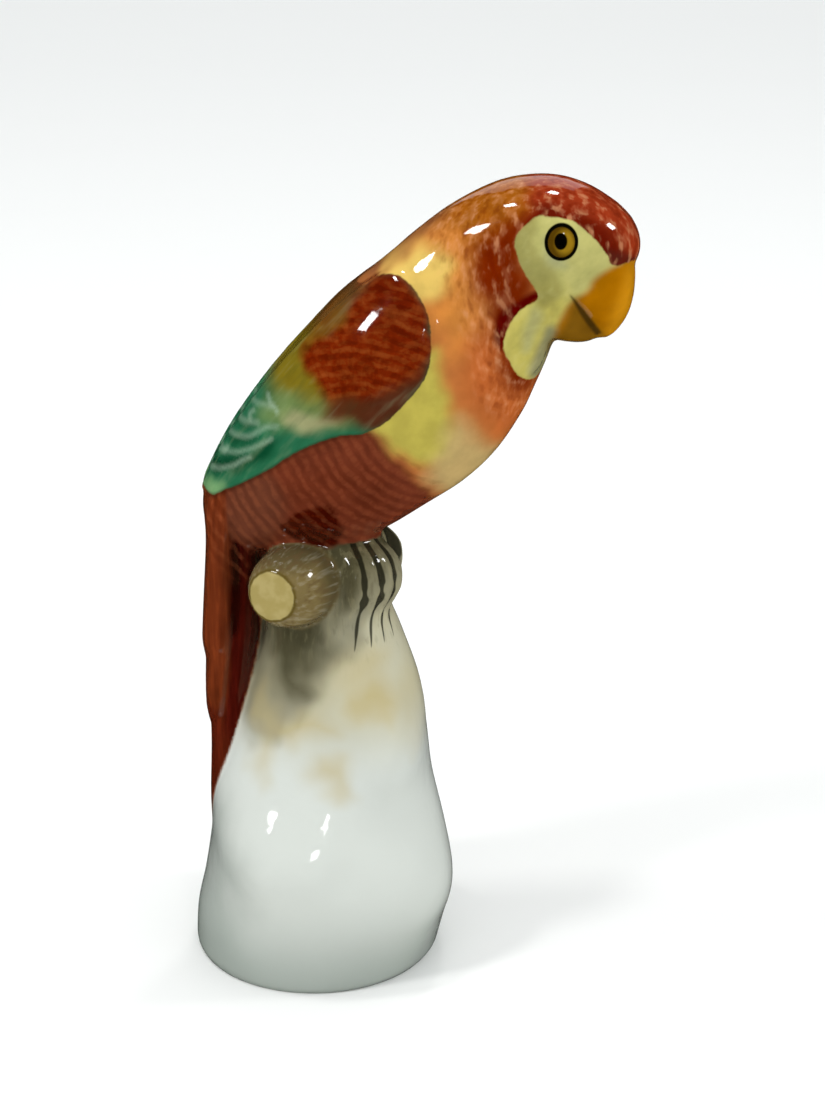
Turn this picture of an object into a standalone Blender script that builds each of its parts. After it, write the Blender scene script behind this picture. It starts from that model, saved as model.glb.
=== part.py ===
"""A parrot perched on a tree stump: one hollow slip-cast porcelain figurine, in metres, +Z up.

The bird faces +X. The stump's cut side branch points towards -Y. The foot ring stands on Z = 0,
and the origin is on the floor under the middle of the figurine's outline.
"""

import math

import bmesh
import bpy
import numpy as np
from mathutils import Vector

# Stump and foot
FOOT_LENGTH = 0.0406  # along X, at the floor
FOOT_WIDTH = 0.0430  # along Y, at the floor
FOOT_EDGE = 0.0010  # rounding where the side meets the foot ring
STUMP_HEIGHT = 0.0715  # floor to the perch
PERCH_LENGTH = 0.0206  # along X, across the top of the stump
PERCH_WIDTH = 0.0206  # along Y, across the top of the stump
PERCH_SHIFT = 0.0024  # the stump's top stands this far towards +X from the foot's middle
SWELL_RISE = 0.0020  # height of the soft mounds modelled on the stump

# Body, measured along its leaning axis
BODY_LEAN = 47.0  # degrees above the horizontal
BODY_LENGTH = 0.0817  # rump to crown
BACK_DEPTH = 0.0223  # from the axis to the back
BREAST_DEPTH = 0.0138  # from the axis to the breast
BODY_WIDTH = 0.0262
SEAT_LIFT = 0.0035  # from the perch up to the start of the body's axis
RUMP_REACH = 0.0120  # how far the rump reaches behind the start of the axis
BODY_FULLNESS = 2.1  # power of a section's superellipse, where 2 is a plain ellipse

# Relief on the body
WING_RISE = 0.0007  # how far a folded wing stands out from the body
WING_SPACING = 0.0075  # gap between the two wings half way along the back
CHEEK_RISE = 0.0006  # how far the bare cheek lobe stands out
EYE_RADIUS = 0.0028
EYE_RISE = 0.0005
EYE_ALONG = 0.892  # share of the body's length, from the rump
EYE_BACK = 0.18  # share of the back's depth, behind the axis
EYE_SPREAD = 0.775  # share of the body's half width at which an eye lies

# Beak
BEAK_WIDTH = 0.0168  # where the upper mandible leaves the face
BEAK_DROP = 0.0165  # brow to the tip of the hooked upper mandible
JAW_WIDTH = 0.0150
BEAK_FULLNESS = 2.3
BROW_ALONG = 0.951  # share of the body's length at which the beak leaves the brow
BROW_OUT = 0.60  # share of the breast's depth

# Tail
TAIL_LENGTH = 0.0680  # from inside the rump to the tip
TAIL_WIDTH = 0.0140
TAIL_DEPTH = 0.0100
TAIL_FULLNESS = 2.6
FEATHER_RISE = 0.0007  # each shorter row of tail feathers lies this much proud of the next
FEATHER_INNER = 0.5  # how far in a shorter row reaches, as a share of the longest row
TAIL_ROOT = (0.18, 0.80)  # along and behind the body's axis, as shares of the back's depth
TIP_LENGTH = 1 / 16  # a feather narrows over this share of the tail's length
TIP_START = 0.25  # share of the full depth at the very tip

# Cut side branch
BRANCH_RADIUS = 0.0065
CUT_RADIUS = 0.0042  # the sawn end
BRANCH_REACH = 0.0186  # from the stump's axis to the sawn end
BRANCH_TURN = 26.0  # degrees from -Y towards -X
BRANCH_RISE = 5.0  # degrees above the horizontal
BRANCH_DROP = 0.0056  # the root of the branch's axis lies this far below the perch

# Toes
TOES_PER_FOOT = 4
TOE_RADIUS = 0.0012
FIRST_TOE = 23.0  # degrees from +X to the toe nearest the front
TOE_STEP = 14.5  # degrees from one toe to the next
TOE_LENGTH = 0.0110  # from the perch down the stump

# Casting
WALL = 0.0030
FOOT_RING_WIDTH = 0.0030
FOOT_RECESS = 0.0012
VENT_RADIUS = 0.0020
VENT_SHIFT = 0.0060  # the vent hole stands this far from the foot's middle, towards -X

# Surface
CLAY_GRAIN = 0.00055  # cell that the joined forms are blended on
GLAZE_ROUNDS = 6  # passes that soften the joints as the glaze does
FACETS = 9400
RING_POINTS = 40
SPAN_STEPS = 4
HOLLOW_POINTS = 28
EYE_POINTS = 24
EYE_STEPS = 6
TOE_POINTS = 12
VENT_POINTS = 20
EDGE_SHARES = (0.3, 0.7, 1.0)  # heights of the rings that round the foot's edge
STUMP_SPAN = (-0.05, 1.06)  # the stump runs from below the floor into the bird, in shares of its height


def clear_scene():
    for obj in list(bpy.data.objects):
        bpy.data.objects.remove(obj, do_unlink=True)


def smooth_rows(rows, steps=SPAN_STEPS):
    """Catmull-Rom curve through rows of numbers, with this many steps between two rows."""
    rows = np.array(rows, float)
    padded = np.vstack([2 * rows[0] - rows[1], rows, 2 * rows[-1] - rows[-2]])
    result = []
    for index in range(len(rows) - 1):
        p0, p1, p2, p3 = padded[index : index + 4]
        for t in np.arange(steps) / steps:
            linear = (p2 - p0) * t
            square = (2 * p0 - 5 * p1 + 4 * p2 - p3) * t**2
            cubic = (3 * p1 - p0 - 3 * p2 + p3) * t**3
            result.append((2 * p1 + linear + square + cubic) / 2)
    result.append(rows[-1])
    return np.array(result)


def turns(count):
    return [2 * math.pi * step / count for step in range(count)]


def side_oval(back, front, half_width, power, count=RING_POINTS):
    """Ring through two points of the bird's middle plane, widened along Y to a superellipse."""
    middle = (back + front) / 2
    reach = (front - back) / 2
    points = []
    for angle in turns(count):
        along = math.copysign(abs(math.cos(angle)) ** (2 / power), math.cos(angle))
        across = math.copysign(abs(math.sin(angle)) ** (2 / power), math.sin(angle))
        points.append(middle + reach * along + Vector((0, half_width * across, 0)))
    return points


def skin(name, rings):
    """Closed solid over rings with equally many points, with a flat cap at each end."""
    shape = bmesh.new()
    loops = [[shape.verts.new(point) for point in ring] for ring in rings]
    for near, far in zip(loops, loops[1:]):
        for step in range(len(near)):
            after = (step + 1) % len(near)
            shape.faces.new((near[step], near[after], far[after], far[step]))
    shape.faces.new(loops[0][::-1])
    shape.faces.new(loops[-1])
    bmesh.ops.recalc_face_normals(shape, faces=shape.faces)
    mesh = bpy.data.meshes.new(name)
    shape.to_mesh(mesh)
    shape.free()
    obj = bpy.data.objects.new(name, mesh)
    bpy.context.scene.collection.objects.link(obj)
    return obj


def combine(obj, operation, other):
    step = obj.modifiers.new(operation.lower() + " " + other.name, "BOOLEAN")
    step.operation = operation
    step.solver = "EXACT"
    step.object = other
    other.hide_render = True
    other.display_type = "WIRE"


def finished_mesh(obj):
    """The object's mesh with its modifiers applied."""
    graph = bpy.context.evaluated_depsgraph_get()
    return bpy.data.meshes.new_from_object(obj.evaluated_get(graph))


def on_body(along, outward):
    """Point of the middle plane: along the leaning axis, and outward from it towards the breast."""
    lean = math.radians(BODY_LEAN)
    x = along * math.cos(lean) + outward * math.sin(lean)
    z = STUMP_HEIGHT + SEAT_LIFT + along * math.sin(lean) - outward * math.cos(lean)
    return Vector((x, 0, z))


# Along the axis from rump to crown, then back, breast and width, each as a share of its own size
BODY_PROFILE = [
    (0.000, 0.54, -0.42, 0.34),
    (0.035, 0.68, -0.18, 0.56),
    (0.095, 0.77, 0.20, 0.74),
    (0.170, 0.85, 0.56, 0.87),
    (0.245, 0.90, 0.72, 0.94),
    (0.330, 0.935, 0.85, 0.99),
    (0.415, 0.95, 0.97, 1.00),
    (0.500, 0.955, 0.99, 0.97),
    (0.585, 0.925, 0.90, 0.89),
    (0.640, 0.905, 0.79, 0.83),
    (0.690, 0.895, 0.68, 0.79),
    (0.745, 0.86, 0.55, 0.775),
    (0.815, 0.79, 0.51, 0.81),
    (0.880, 0.69, 0.58, 0.83),
    (0.930, 0.55, 0.62, 0.77),
    (0.965, 0.40, 0.57, 0.61),
    (0.988, 0.22, 0.43, 0.41),
    (1.000, 0.02, 0.25, 0.18),
]


def body(name, rise, count=RING_POINTS, steps=SPAN_STEPS):
    """The bird's trunk and head, grown outward by rise."""
    rings = []
    for share, back, breast, width in smooth_rows(BODY_PROFILE, steps):
        if width * BODY_WIDTH / 2 < -2 * rise:
            continue
        along = share * (BODY_LENGTH + 2 * rise) - RUMP_REACH - rise
        back_point = on_body(along, -back * BACK_DEPTH - rise)
        breast_point = on_body(along, breast * BREAST_DEPTH + rise)
        half_width = width * BODY_WIDTH / 2 + rise
        rings.append(side_oval(back_point, breast_point, half_width, BODY_FULLNESS, count))
    return skin(name, rings)


# Outlines on the bird's side, as shares of the body's length from the rump and of its two depths
WING_OUTLINE = [
    (0.035, -0.78),
    (0.115, -0.64),
    (0.195, -0.54),
    (0.265, -0.45),
    (0.345, -0.35),
    (0.425, -0.24),
    (0.500, -0.23),
    (0.570, -0.30),
    (0.620, -0.48),
    (0.637, -0.72),
    (0.610, -0.98),
    (0.530, -1.22),
    (0.330, -1.28),
    (0.130, -1.18),
    (0.020, -1.00),
]
CHEEK_OUTLINE = [
    (0.780, -0.06),
    (0.752, -0.10),
    (0.725, -0.09),
    (0.698, -0.04),
    (0.673, 0.06),
    (0.658, 0.22),
    (0.650, 0.42),
    (0.658, 0.57),
    (0.690, 0.60),
    (0.730, 0.54),
    (0.765, 0.38),
    (0.785, 0.12),
]


def side_slab(name, outline, depth, side):
    """Slab on one side of the bird, with a smooth edge. Its inner face opens towards the head."""
    around = outline[-1:] + outline + outline[:2]
    curve = smooth_rows(around)[SPAN_STEPS : -SPAN_STEPS - 1]
    points = [on_body(share * BODY_LENGTH - RUMP_REACH, out * depth) for share, out in curve]
    gaps = [Vector((0, side * share * WING_SPACING, 0)) for share, _ in curve]
    inner = [point + gap for point, gap in zip(points, gaps)]
    outer = [point + Vector((0, side * BODY_WIDTH, 0)) for point in points]
    return skin(name, [inner, outer])


def raised_patch(name, outline, depth, rise):
    """The part of a swollen body that lies inside an outline, on each side of the bird."""
    patches = []
    for side in (-1, 1):
        patch = body(f"{name} {side}", rise)
        slab = side_slab(f"{name} edge {side}", outline, depth, side)
        combine(patch, "INTERSECT", slab)
        patches.append(patch)
    return patches


def on_beak(forward, down):
    """Point of the middle plane from the brow, forward and down as shares of the beak's drop."""
    brow = on_body(BROW_ALONG * BODY_LENGTH - RUMP_REACH, BROW_OUT * BREAST_DEPTH)
    return brow + Vector((forward * BEAK_DROP, 0, -down * BEAK_DROP))


# Inner edge, then outer edge, forward and down, then the width, of rings towards the hooked tip
UPPER_MANDIBLE = [
    (-0.94, 0.10, -0.22, -0.28, 0.86),
    (-0.82, 0.24, -0.03, 0.02, 1.00),
    (-0.70, 0.38, -0.01, 0.22, 0.95),
    (-0.60, 0.50, -0.03, 0.40, 0.81),
    (-0.51, 0.59, -0.08, 0.55, 0.63),
    (-0.43, 0.67, -0.17, 0.69, 0.42),
    (-0.35, 0.75, -0.26, 0.77, 0.20),
]
LOWER_MANDIBLE = [
    (-0.80, 0.06, -1.02, 0.60, 0.90),
    (-0.62, 0.20, -0.78, 0.75, 1.00),
    (-0.50, 0.37, -0.61, 0.79, 0.87),
    (-0.42, 0.54, -0.46, 0.79, 0.66),
    (-0.36, 0.68, -0.36, 0.77, 0.30),
]


def mandible(name, rows, width):
    """Solid between two rails of the middle plane."""
    rings = []
    for back_x, back_z, front_x, front_z, share in smooth_rows(rows):
        back = on_beak(back_x, back_z)
        front = on_beak(front_x, front_z)
        rings.append(side_oval(back, front, share * width / 2, BEAK_FULLNESS))
    return skin(name, rings)


def eyes():
    """A shallow dome on each side of the head."""
    domes = []
    centre = on_body(EYE_ALONG * BODY_LENGTH - RUMP_REACH, -EYE_BACK * BACK_DEPTH)
    for side in (-1, 1):
        rings = []
        for step in range(EYE_STEPS + 1):
            rim = math.pi / (EYE_STEPS + 1) / 2
            angle = rim + (math.pi - 2 * rim) * step / EYE_STEPS
            across = side * (EYE_SPREAD * BODY_WIDTH / 2 - 2 * EYE_RISE * math.cos(angle))
            radius = EYE_RADIUS * math.sin(angle)
            ring = []
            for way in turns(EYE_POINTS):
                ring.append(centre + Vector((radius * math.cos(way), across, radius * math.sin(way))))
            rings.append(ring)
        domes.append(skin(f"eye {side}", rings))
    return domes


# Height as a share of the stump's, then how far each side has gone from the foot's edge to the perch's
STUMP_PROFILE = [
    (-0.06, 0.00, 0.06, 0.00),
    (0.00, 0.00, 0.00, 0.00),
    (0.09, 0.03, -0.17, -0.04),
    (0.18, 0.15, -0.29, -0.04),
    (0.29, 0.26, -0.14, 0.06),
    (0.41, 0.32, 0.13, 0.25),
    (0.53, 0.51, 0.23, 0.45),
    (0.65, 0.73, 0.37, 0.64),
    (0.77, 0.97, 0.74, 0.82),
    (0.86, 1.00, 1.04, 0.95),
    (0.95, 1.00, 1.04, 1.00),
    (1.01, 1.12, 1.22, 1.14),
    (1.07, 1.20, 1.50, 1.26),
]


def stump_rows(steps=SPAN_STEPS):
    """Height, back x, front x and half width of the stump, from the floor to inside the bird."""
    foot = np.array([-FOOT_LENGTH / 2, FOOT_LENGTH / 2, FOOT_WIDTH / 2])
    perch = np.array([PERCH_SHIFT - PERCH_LENGTH / 2, PERCH_SHIFT + PERCH_LENGTH / 2, PERCH_WIDTH / 2])
    profile = smooth_rows(STUMP_PROFILE, steps)
    sides = foot + profile[:, 1:] * (perch - foot)
    return np.column_stack([profile[:, 0] * STUMP_HEIGHT, sides])


# Soft mounds and one hollow: degrees from +X towards -Y, height as a share of the stump's,
# spread in degrees and as a share, and strength
MOUNDS = [
    (114, 0.31, 34, 0.110, 1.90),
    (112, 0.50, 34, 0.060, -0.35),
    (41, 0.22, 28, 0.120, 1.40),
    (50, 0.53, 25, 0.075, 1.15),
    (98, 0.88, 42, 0.130, 0.70),
    (-120, 0.27, 36, 0.120, 1.10),
    (-50, 0.40, 34, 0.110, 0.90),
]


def mound_rise(angle, height):
    """Height of the mounds at an angle and a height of the stump."""
    rise = 0.0
    for turn, level, spread, reach, share in MOUNDS:
        away = (math.degrees(angle) + turn + 180) % 360 - 180
        up = (height / STUMP_HEIGHT - level) / reach
        rise += share * SWELL_RISE * math.exp(-((away / spread) ** 2) - up**2)
    return rise


def stump_point(angle, height, outward=0.0):
    """Point at an angle from +X on the stump's side, moved outward."""
    rows = stump_rows()
    back, front, half_width = (np.interp(height, rows[:, 0], column) for column in rows[:, 1:].T)
    edge = FOOT_EDGE - min(max(height, 0.0), FOOT_EDGE)
    outward += mound_rise(angle, height) - FOOT_EDGE + math.sqrt(FOOT_EDGE**2 - edge**2)
    x = (back + front) / 2 + ((front - back) / 2 + outward) * math.cos(angle)
    y = (half_width + outward) * math.sin(angle)
    return Vector((x, y, height))


def stump(name, outward, bottom, top, count=2 * RING_POINTS, steps=SPAN_STEPS):
    heights = [row[0] for row in stump_rows(steps)]
    heights += [bottom, top] + [share * FOOT_EDGE for share in EDGE_SHARES]
    rings = []
    for height in sorted(height for height in heights if bottom <= height <= top):
        rings.append([stump_point(angle, height, outward) for angle in turns(count)])
    return skin(name, rings)


# Down from the rump as a share of the length, then outer and inner face as shares of the depth,
# and the width
TAIL_PROFILE = [
    (0.00, -0.20, -0.87, 0.80),
    (0.08, -0.02, -0.87, 0.98),
    (0.18, -0.03, -0.77, 1.00),
    (0.36, 0.05, -0.72, 0.96),
    (0.53, 0.11, -0.62, 0.88),
    (0.71, 0.12, -0.42, 0.76),
    (0.83, 0.15, -0.27, 0.62),
    (0.94, 0.13, -0.12, 0.46),
    (1.00, 0.02, -0.02, 0.26),
]
FEATHER_ENDS = [1.00, 0.66, 0.50]  # of each row of feathers, as a share of the tail's length


def tail():
    """Rows of feathers that hang behind the stump, each shorter row lying proud of the longer one."""
    root = on_body(-TAIL_ROOT[0] * BACK_DEPTH, -TAIL_ROOT[1] * BACK_DEPTH)
    solids = []
    for layer, end in enumerate(FEATHER_ENDS):
        rings = []
        for down, outer, inner, width in smooth_rows(TAIL_PROFILE):
            if down > end:
                break
            tip = min(1.0, TIP_START + (1 - TIP_START) * (end - down) / TIP_LENGTH)
            rise = layer * FEATHER_RISE
            inner *= FEATHER_INNER if layer else 1.0
            near = root + Vector((-inner * TAIL_DEPTH, 0, -down * TAIL_LENGTH))
            far = root + Vector((-outer * TAIL_DEPTH - rise * tip, 0, -down * TAIL_LENGTH))
            half_width = width * (TAIL_WIDTH / 2 + rise) * math.sqrt(tip)
            rings.append(side_oval(far, near, half_width, TAIL_FULLNESS))
        solids.append(skin(f"feathers {layer}", rings))
    return solids


def tube(name, points, radii, sides):
    """Round tube along points of space, with its own radius at each."""
    rings = []
    for index, point in enumerate(points):
        way = points[min(index + 1, len(points) - 1)] - points[max(index - 1, 0)]
        turn = way.to_track_quat("Z", "Y")
        ring = []
        for angle in turns(sides):
            ring.append(point + turn @ Vector((math.cos(angle), math.sin(angle), 0)) * radii[index])
        rings.append(ring)
    return skin(name, rings)


# Along the branch as a share of its reach, then how far its radius has gone to that of the sawn end
BRANCH_PROFILE = [
    (0.00, 0.00),
    (0.45, -0.10),
    (0.62, -0.06),
    (0.76, 0.12),
    (0.87, 0.42),
    (0.96, 0.84),
    (1.00, 1.00),
]


def branch():
    """The stub of a side branch, rounded towards its sawn end."""
    turn = math.radians(BRANCH_TURN)
    lift = math.radians(BRANCH_RISE)
    level = math.cos(lift)
    way = Vector((-math.sin(turn) * level, -math.cos(turn) * level, math.sin(lift)))
    root = Vector((PERCH_SHIFT, 0, STUMP_HEIGHT - BRANCH_DROP))
    rows = smooth_rows(BRANCH_PROFILE)
    points = [root + way * BRANCH_REACH * row[0] for row in rows]
    radii = [BRANCH_RADIUS + row[1] * (CUT_RADIUS - BRANCH_RADIUS) for row in rows]
    return tube("branch", points, radii, RING_POINTS)


# Down a toe as a share of its length, then how far it stands out of the stump and its radius,
# in toe radii
TOE_PROFILE = [
    (-0.26, -3.6, 0.9),
    (-0.10, -1.2, 1.0),
    (0.08, 0.75, 1.08),
    (0.32, 1.55, 1.05),
    (0.58, 1.30, 1.10),
    (0.82, 0.35, 0.9),
    (1.00, -0.35, 0.6),
]


def toes():
    solids = []
    for side in (-1, 1):
        for number in range(TOES_PER_FOOT):
            angle = side * math.radians(FIRST_TOE + number * TOE_STEP)
            rows = smooth_rows(TOE_PROFILE)
            points = []
            for down, out, _ in rows:
                points.append(stump_point(angle, STUMP_HEIGHT - down * TOE_LENGTH, out * TOE_RADIUS))
            radii = [row[2] * TOE_RADIUS for row in rows]
            solids.append(tube(f"toe {side} {number}", points, radii, TOE_POINTS))
    return solids


def joined(name, objects):
    """One object that holds the finished meshes of several."""
    shape = bmesh.new()
    for obj in objects:
        shape.from_mesh(finished_mesh(obj))
        obj.hide_render = True
    mesh = bpy.data.meshes.new(name)
    shape.to_mesh(mesh)
    shape.free()
    obj = bpy.data.objects.new(name, mesh)
    bpy.context.scene.collection.objects.link(obj)
    return obj


def triangles(obj):
    return sum(len(face.vertices) - 2 for face in finished_mesh(obj).polygons)


def blend_forms(obj):
    """Melts the joined forms into one skin with soft joints, then thins it to its facets."""
    cells = obj.modifiers.new("blend", "REMESH")
    cells.mode = "VOXEL"
    cells.voxel_size = CLAY_GRAIN
    cells.use_smooth_shade = True
    glaze = obj.modifiers.new("glaze", "SMOOTH")
    glaze.factor = 0.5
    glaze.iterations = GLAZE_ROUNDS
    thin = obj.modifiers.new("facets", "DECIMATE")
    thin.ratio = 1.0
    thin.ratio = FACETS / triangles(obj)


def slab_below_floor():
    half = FOOT_LENGTH + FOOT_WIDTH
    corners = [(-half, -half), (half, -half), (half, half), (-half, half)]
    return skin("below floor", [[Vector((x, y, z)) for x, y in corners] for z in (-half, 0.0)])


def hollow():
    """What the slip leaves: the inside of the stump and of the bird, the foot's recess and the vent."""
    floor = FOOT_RECESS + WALL
    recess = []
    for height, outward in ((-WALL, -FOOT_RING_WIDTH), (FOOT_RECESS, -FOOT_RING_WIDTH - FOOT_RECESS / 2)):
        ring = [stump_point(angle, FOOT_EDGE, outward) for angle in turns(RING_POINTS)]
        recess.append([Vector((point.x, point.y, height)) for point in ring])
    vent = [Vector((-VENT_SHIFT, 0, -WALL)), Vector((-VENT_SHIFT, 0, floor + WALL))]
    return [
        stump("hollow stump", -WALL, floor, STUMP_HEIGHT + SEAT_LIFT, HOLLOW_POINTS, 1),
        body("hollow bird", -WALL, HOLLOW_POINTS, 1),
        skin("foot recess", recess),
        tube("vent", vent, [VENT_RADIUS, VENT_RADIUS], VENT_POINTS),
    ]


def porcelain():
    material = bpy.data.materials.new("glazed porcelain")
    material.use_nodes = True
    shader = material.node_tree.nodes["Principled BSDF"]
    shader.inputs["Base Color"].default_value = (0.80, 0.82, 0.78, 1.0)
    shader.inputs["Roughness"].default_value = 0.12
    shader.inputs["Metallic"].default_value = 0.0
    return material


def main():
    clear_scene()
    bottom, top = (share * STUMP_HEIGHT for share in STUMP_SPAN)
    forms = [body("trunk", 0.0), stump("stump", 0.0, bottom, top)]
    forms += raised_patch("wing", WING_OUTLINE, BACK_DEPTH, WING_RISE)
    forms += raised_patch("cheek", CHEEK_OUTLINE, BREAST_DEPTH, CHEEK_RISE)
    forms.append(mandible("upper mandible", UPPER_MANDIBLE, BEAK_WIDTH))
    forms.append(mandible("lower mandible", LOWER_MANDIBLE, JAW_WIDTH))
    forms += eyes() + tail() + [branch()] + toes()
    figure = joined("parrot_figurine", forms)
    for form in forms:
        bpy.data.objects.remove(form, do_unlink=True)
    blend_forms(figure)
    for cutter in [slab_below_floor()] + hollow():
        combine(figure, "DIFFERENCE", cutter)
    figure.data.materials.append(porcelain())
    corners = np.array([vertex.co for vertex in finished_mesh(figure).vertices])
    middle = (corners.min(axis=0) + corners.max(axis=0)) / 2
    frame = bpy.data.objects.new("floor point", None)
    bpy.context.scene.collection.objects.link(frame)
    for obj in bpy.context.scene.objects:
        if obj.type == "MESH":
            obj.parent = frame
    frame.location = (-middle[0], -middle[1], 0.0)
    size = np.round(corners.max(axis=0) - corners.min(axis=0), 4)
    print("parrot_figurine", size, "triangles", triangles(figure))


main()
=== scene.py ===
# %% [markdown]
# # A parrot on a tree stump, hand-painted porcelain
# The real object is one hollow casting: liquid clay is poured into a plaster mould, poured out again,
# fired, painted by hand and covered with a clear gloss glaze. So the whole bird, its perch and the
# stump are one skin of one material, and what sets the plumage apart is only paint.
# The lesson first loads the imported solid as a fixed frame, then builds the same forms again on a much
# finer skin, and last paints that skin field by field.

# %% The fixed frame
import math

import bmesh
import bpy
import numpy as np
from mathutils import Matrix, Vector, noise as field_noise
from mathutils.bvhtree import BVHTree


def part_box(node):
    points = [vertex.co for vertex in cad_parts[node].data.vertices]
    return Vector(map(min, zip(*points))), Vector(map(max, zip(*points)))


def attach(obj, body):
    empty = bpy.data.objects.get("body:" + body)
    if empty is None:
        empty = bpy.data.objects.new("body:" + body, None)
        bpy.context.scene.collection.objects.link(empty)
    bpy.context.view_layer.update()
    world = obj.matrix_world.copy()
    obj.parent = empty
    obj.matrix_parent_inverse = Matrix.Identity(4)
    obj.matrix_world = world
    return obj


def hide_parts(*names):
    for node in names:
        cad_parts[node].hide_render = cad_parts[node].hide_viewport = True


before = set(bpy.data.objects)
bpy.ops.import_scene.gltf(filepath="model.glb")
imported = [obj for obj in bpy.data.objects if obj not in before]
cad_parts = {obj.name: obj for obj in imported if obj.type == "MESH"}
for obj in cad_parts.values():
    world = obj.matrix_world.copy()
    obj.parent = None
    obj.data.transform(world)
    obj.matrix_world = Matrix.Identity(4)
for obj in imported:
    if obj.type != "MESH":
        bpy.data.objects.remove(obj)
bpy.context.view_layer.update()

# %% [markdown]
# ## The sizes
# These are the sizes of the solid, in metres, because the skin built here stands for that solid and has
# to fill the same room. Each one has a name, so that a form can be changed in one place. Angles are in
# degrees. The bird looks along +X and the sawn branch points towards -Y, where the camera stands.

# %% Sizes of the figure
FOOT_LENGTH, FOOT_WIDTH, FOOT_EDGE = 0.0406, 0.0430, 0.0010
STUMP_HEIGHT = 0.0715
PERCH_LENGTH, PERCH_WIDTH, PERCH_SHIFT = 0.0206, 0.0206, 0.0024
SWELL_RISE = 0.0020
BODY_LEAN = 47.0
BODY_LENGTH, BACK_DEPTH, BREAST_DEPTH, BODY_WIDTH = 0.0817, 0.0223, 0.0138, 0.0262
SEAT_LIFT, RUMP_REACH = 0.0035, 0.0120
WING_RISE, WING_SPACING, CHEEK_RISE = 0.0007, 0.0075, 0.0006
EYE_RADIUS, EYE_RISE = 0.0028, 0.0005
BEAK_WIDTH, BEAK_DROP, JAW_WIDTH = 0.0168, 0.0165, 0.0150
TAIL_LENGTH, TAIL_WIDTH, TAIL_DEPTH, FEATHER_RISE = 0.0680, 0.0140, 0.0100, 0.0007
BRANCH_RADIUS, CUT_RADIUS, BRANCH_REACH = 0.0065, 0.0042, 0.0186
BRANCH_TURN, BRANCH_RISE, BRANCH_DROP = 26.0, 5.0, 0.0056
TOES_PER_FOOT, TOE_RADIUS, TOE_LENGTH = 4, 0.0012, 0.0110
FIRST_TOE, TOE_STEP = 23.0, 14.5
WALL, FOOT_RING_WIDTH, FOOT_RECESS = 0.0030, 0.0030, 0.0012
VENT_RADIUS, VENT_SHIFT = 0.0020, 0.0060
CLAY_GRAIN = 0.00050
GLAZE_ROUNDS = 10
RING_POINTS, SPAN_STEPS = 56, 5
print("body leans", BODY_LEAN, "degrees and is", 1000 * BODY_LENGTH, "mm long")

# %% [markdown]
# ## Three tools for soft forms
# A modeller in clay thinks in sections. `smooth_rows` draws a Catmull-Rom curve through a few rows of
# numbers, `side_oval` makes one section between two points of the middle plane, and `skin` stretches a
# closed surface over a stack of sections. Subdivision of a hand-made cage would also do, but here every
# section keeps the numbers it was measured with.

# %% Curves, sections and skins
def smooth_rows(rows, steps=SPAN_STEPS):
    """Catmull-Rom curve through rows of numbers."""
    rows = np.array(rows, float)
    padded = np.vstack([2 * rows[0] - rows[1], rows, 2 * rows[-1] - rows[-2]])
    result = []
    for index in range(len(rows) - 1):
        p0, p1, p2, p3 = padded[index : index + 4]
        for t in np.arange(steps) / steps:
            linear = (p2 - p0) * t
            square = (2 * p0 - 5 * p1 + 4 * p2 - p3) * t**2
            cubic = (3 * p1 - p0 - 3 * p2 + p3) * t**3
            result.append((2 * p1 + linear + square + cubic) / 2)
    result.append(rows[-1])
    return np.array(result)


def turns(count):
    return [2 * math.pi * step / count for step in range(count)]


def side_oval(back, front, half_width, power=2.0):
    """Section through two points of the middle plane, widened along Y to a superellipse."""
    middle, reach = (back + front) / 2, (front - back) / 2
    points = []
    for angle in turns(RING_POINTS):
        along = math.copysign(abs(math.cos(angle)) ** (2 / power), math.cos(angle))
        across = math.copysign(abs(math.sin(angle)) ** (2 / power), math.sin(angle))
        points.append(middle + reach * along + Vector((0, half_width * across, 0)))
    return points


def new_object(name, mesh):
    obj = bpy.data.objects.new(name, mesh)
    bpy.context.scene.collection.objects.link(obj)
    return obj


def skin(name, rings):
    """Closed surface over sections with equally many points."""
    shape = bmesh.new()
    loops = [[shape.verts.new(point) for point in ring] for ring in rings]
    for near, far in zip(loops, loops[1:]):
        for step in range(len(near)):
            after = (step + 1) % len(near)
            shape.faces.new((near[step], near[after], far[after], far[step]))
    shape.faces.new(loops[0][::-1])
    shape.faces.new(loops[-1])
    bmesh.ops.recalc_face_normals(shape, faces=shape.faces)
    mesh = bpy.data.meshes.new(name)
    shape.to_mesh(mesh)
    shape.free()
    return new_object(name, mesh)


def finished_mesh(obj):
    """The object's mesh with its modifiers applied."""
    graph = bpy.context.evaluated_depsgraph_get()
    return bpy.data.meshes.new_from_object(obj.evaluated_get(graph))


def combine(obj, operation, other):
    step = obj.modifiers.new(operation.lower(), "BOOLEAN")
    step.operation, step.solver, step.object = operation, "EXACT", other


# %% [markdown]
# ## The bird's trunk
# The bird has no neck to speak of: rump, breast and head are one long drop that leans forward. It is
# lofted along that leaning axis, so a point of the side is found by how far along the axis it lies and
# how far outward, towards the breast. The paint later uses the same two measures.

# %% Trunk and head
def on_body(along, outward):
    """Point of the middle plane: along the leaning axis, and outward from it towards the breast."""
    lean = math.radians(BODY_LEAN)
    x = along * math.cos(lean) + outward * math.sin(lean)
    z = STUMP_HEIGHT + SEAT_LIFT + along * math.sin(lean) - outward * math.cos(lean)
    return Vector((x, 0, z))


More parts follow.
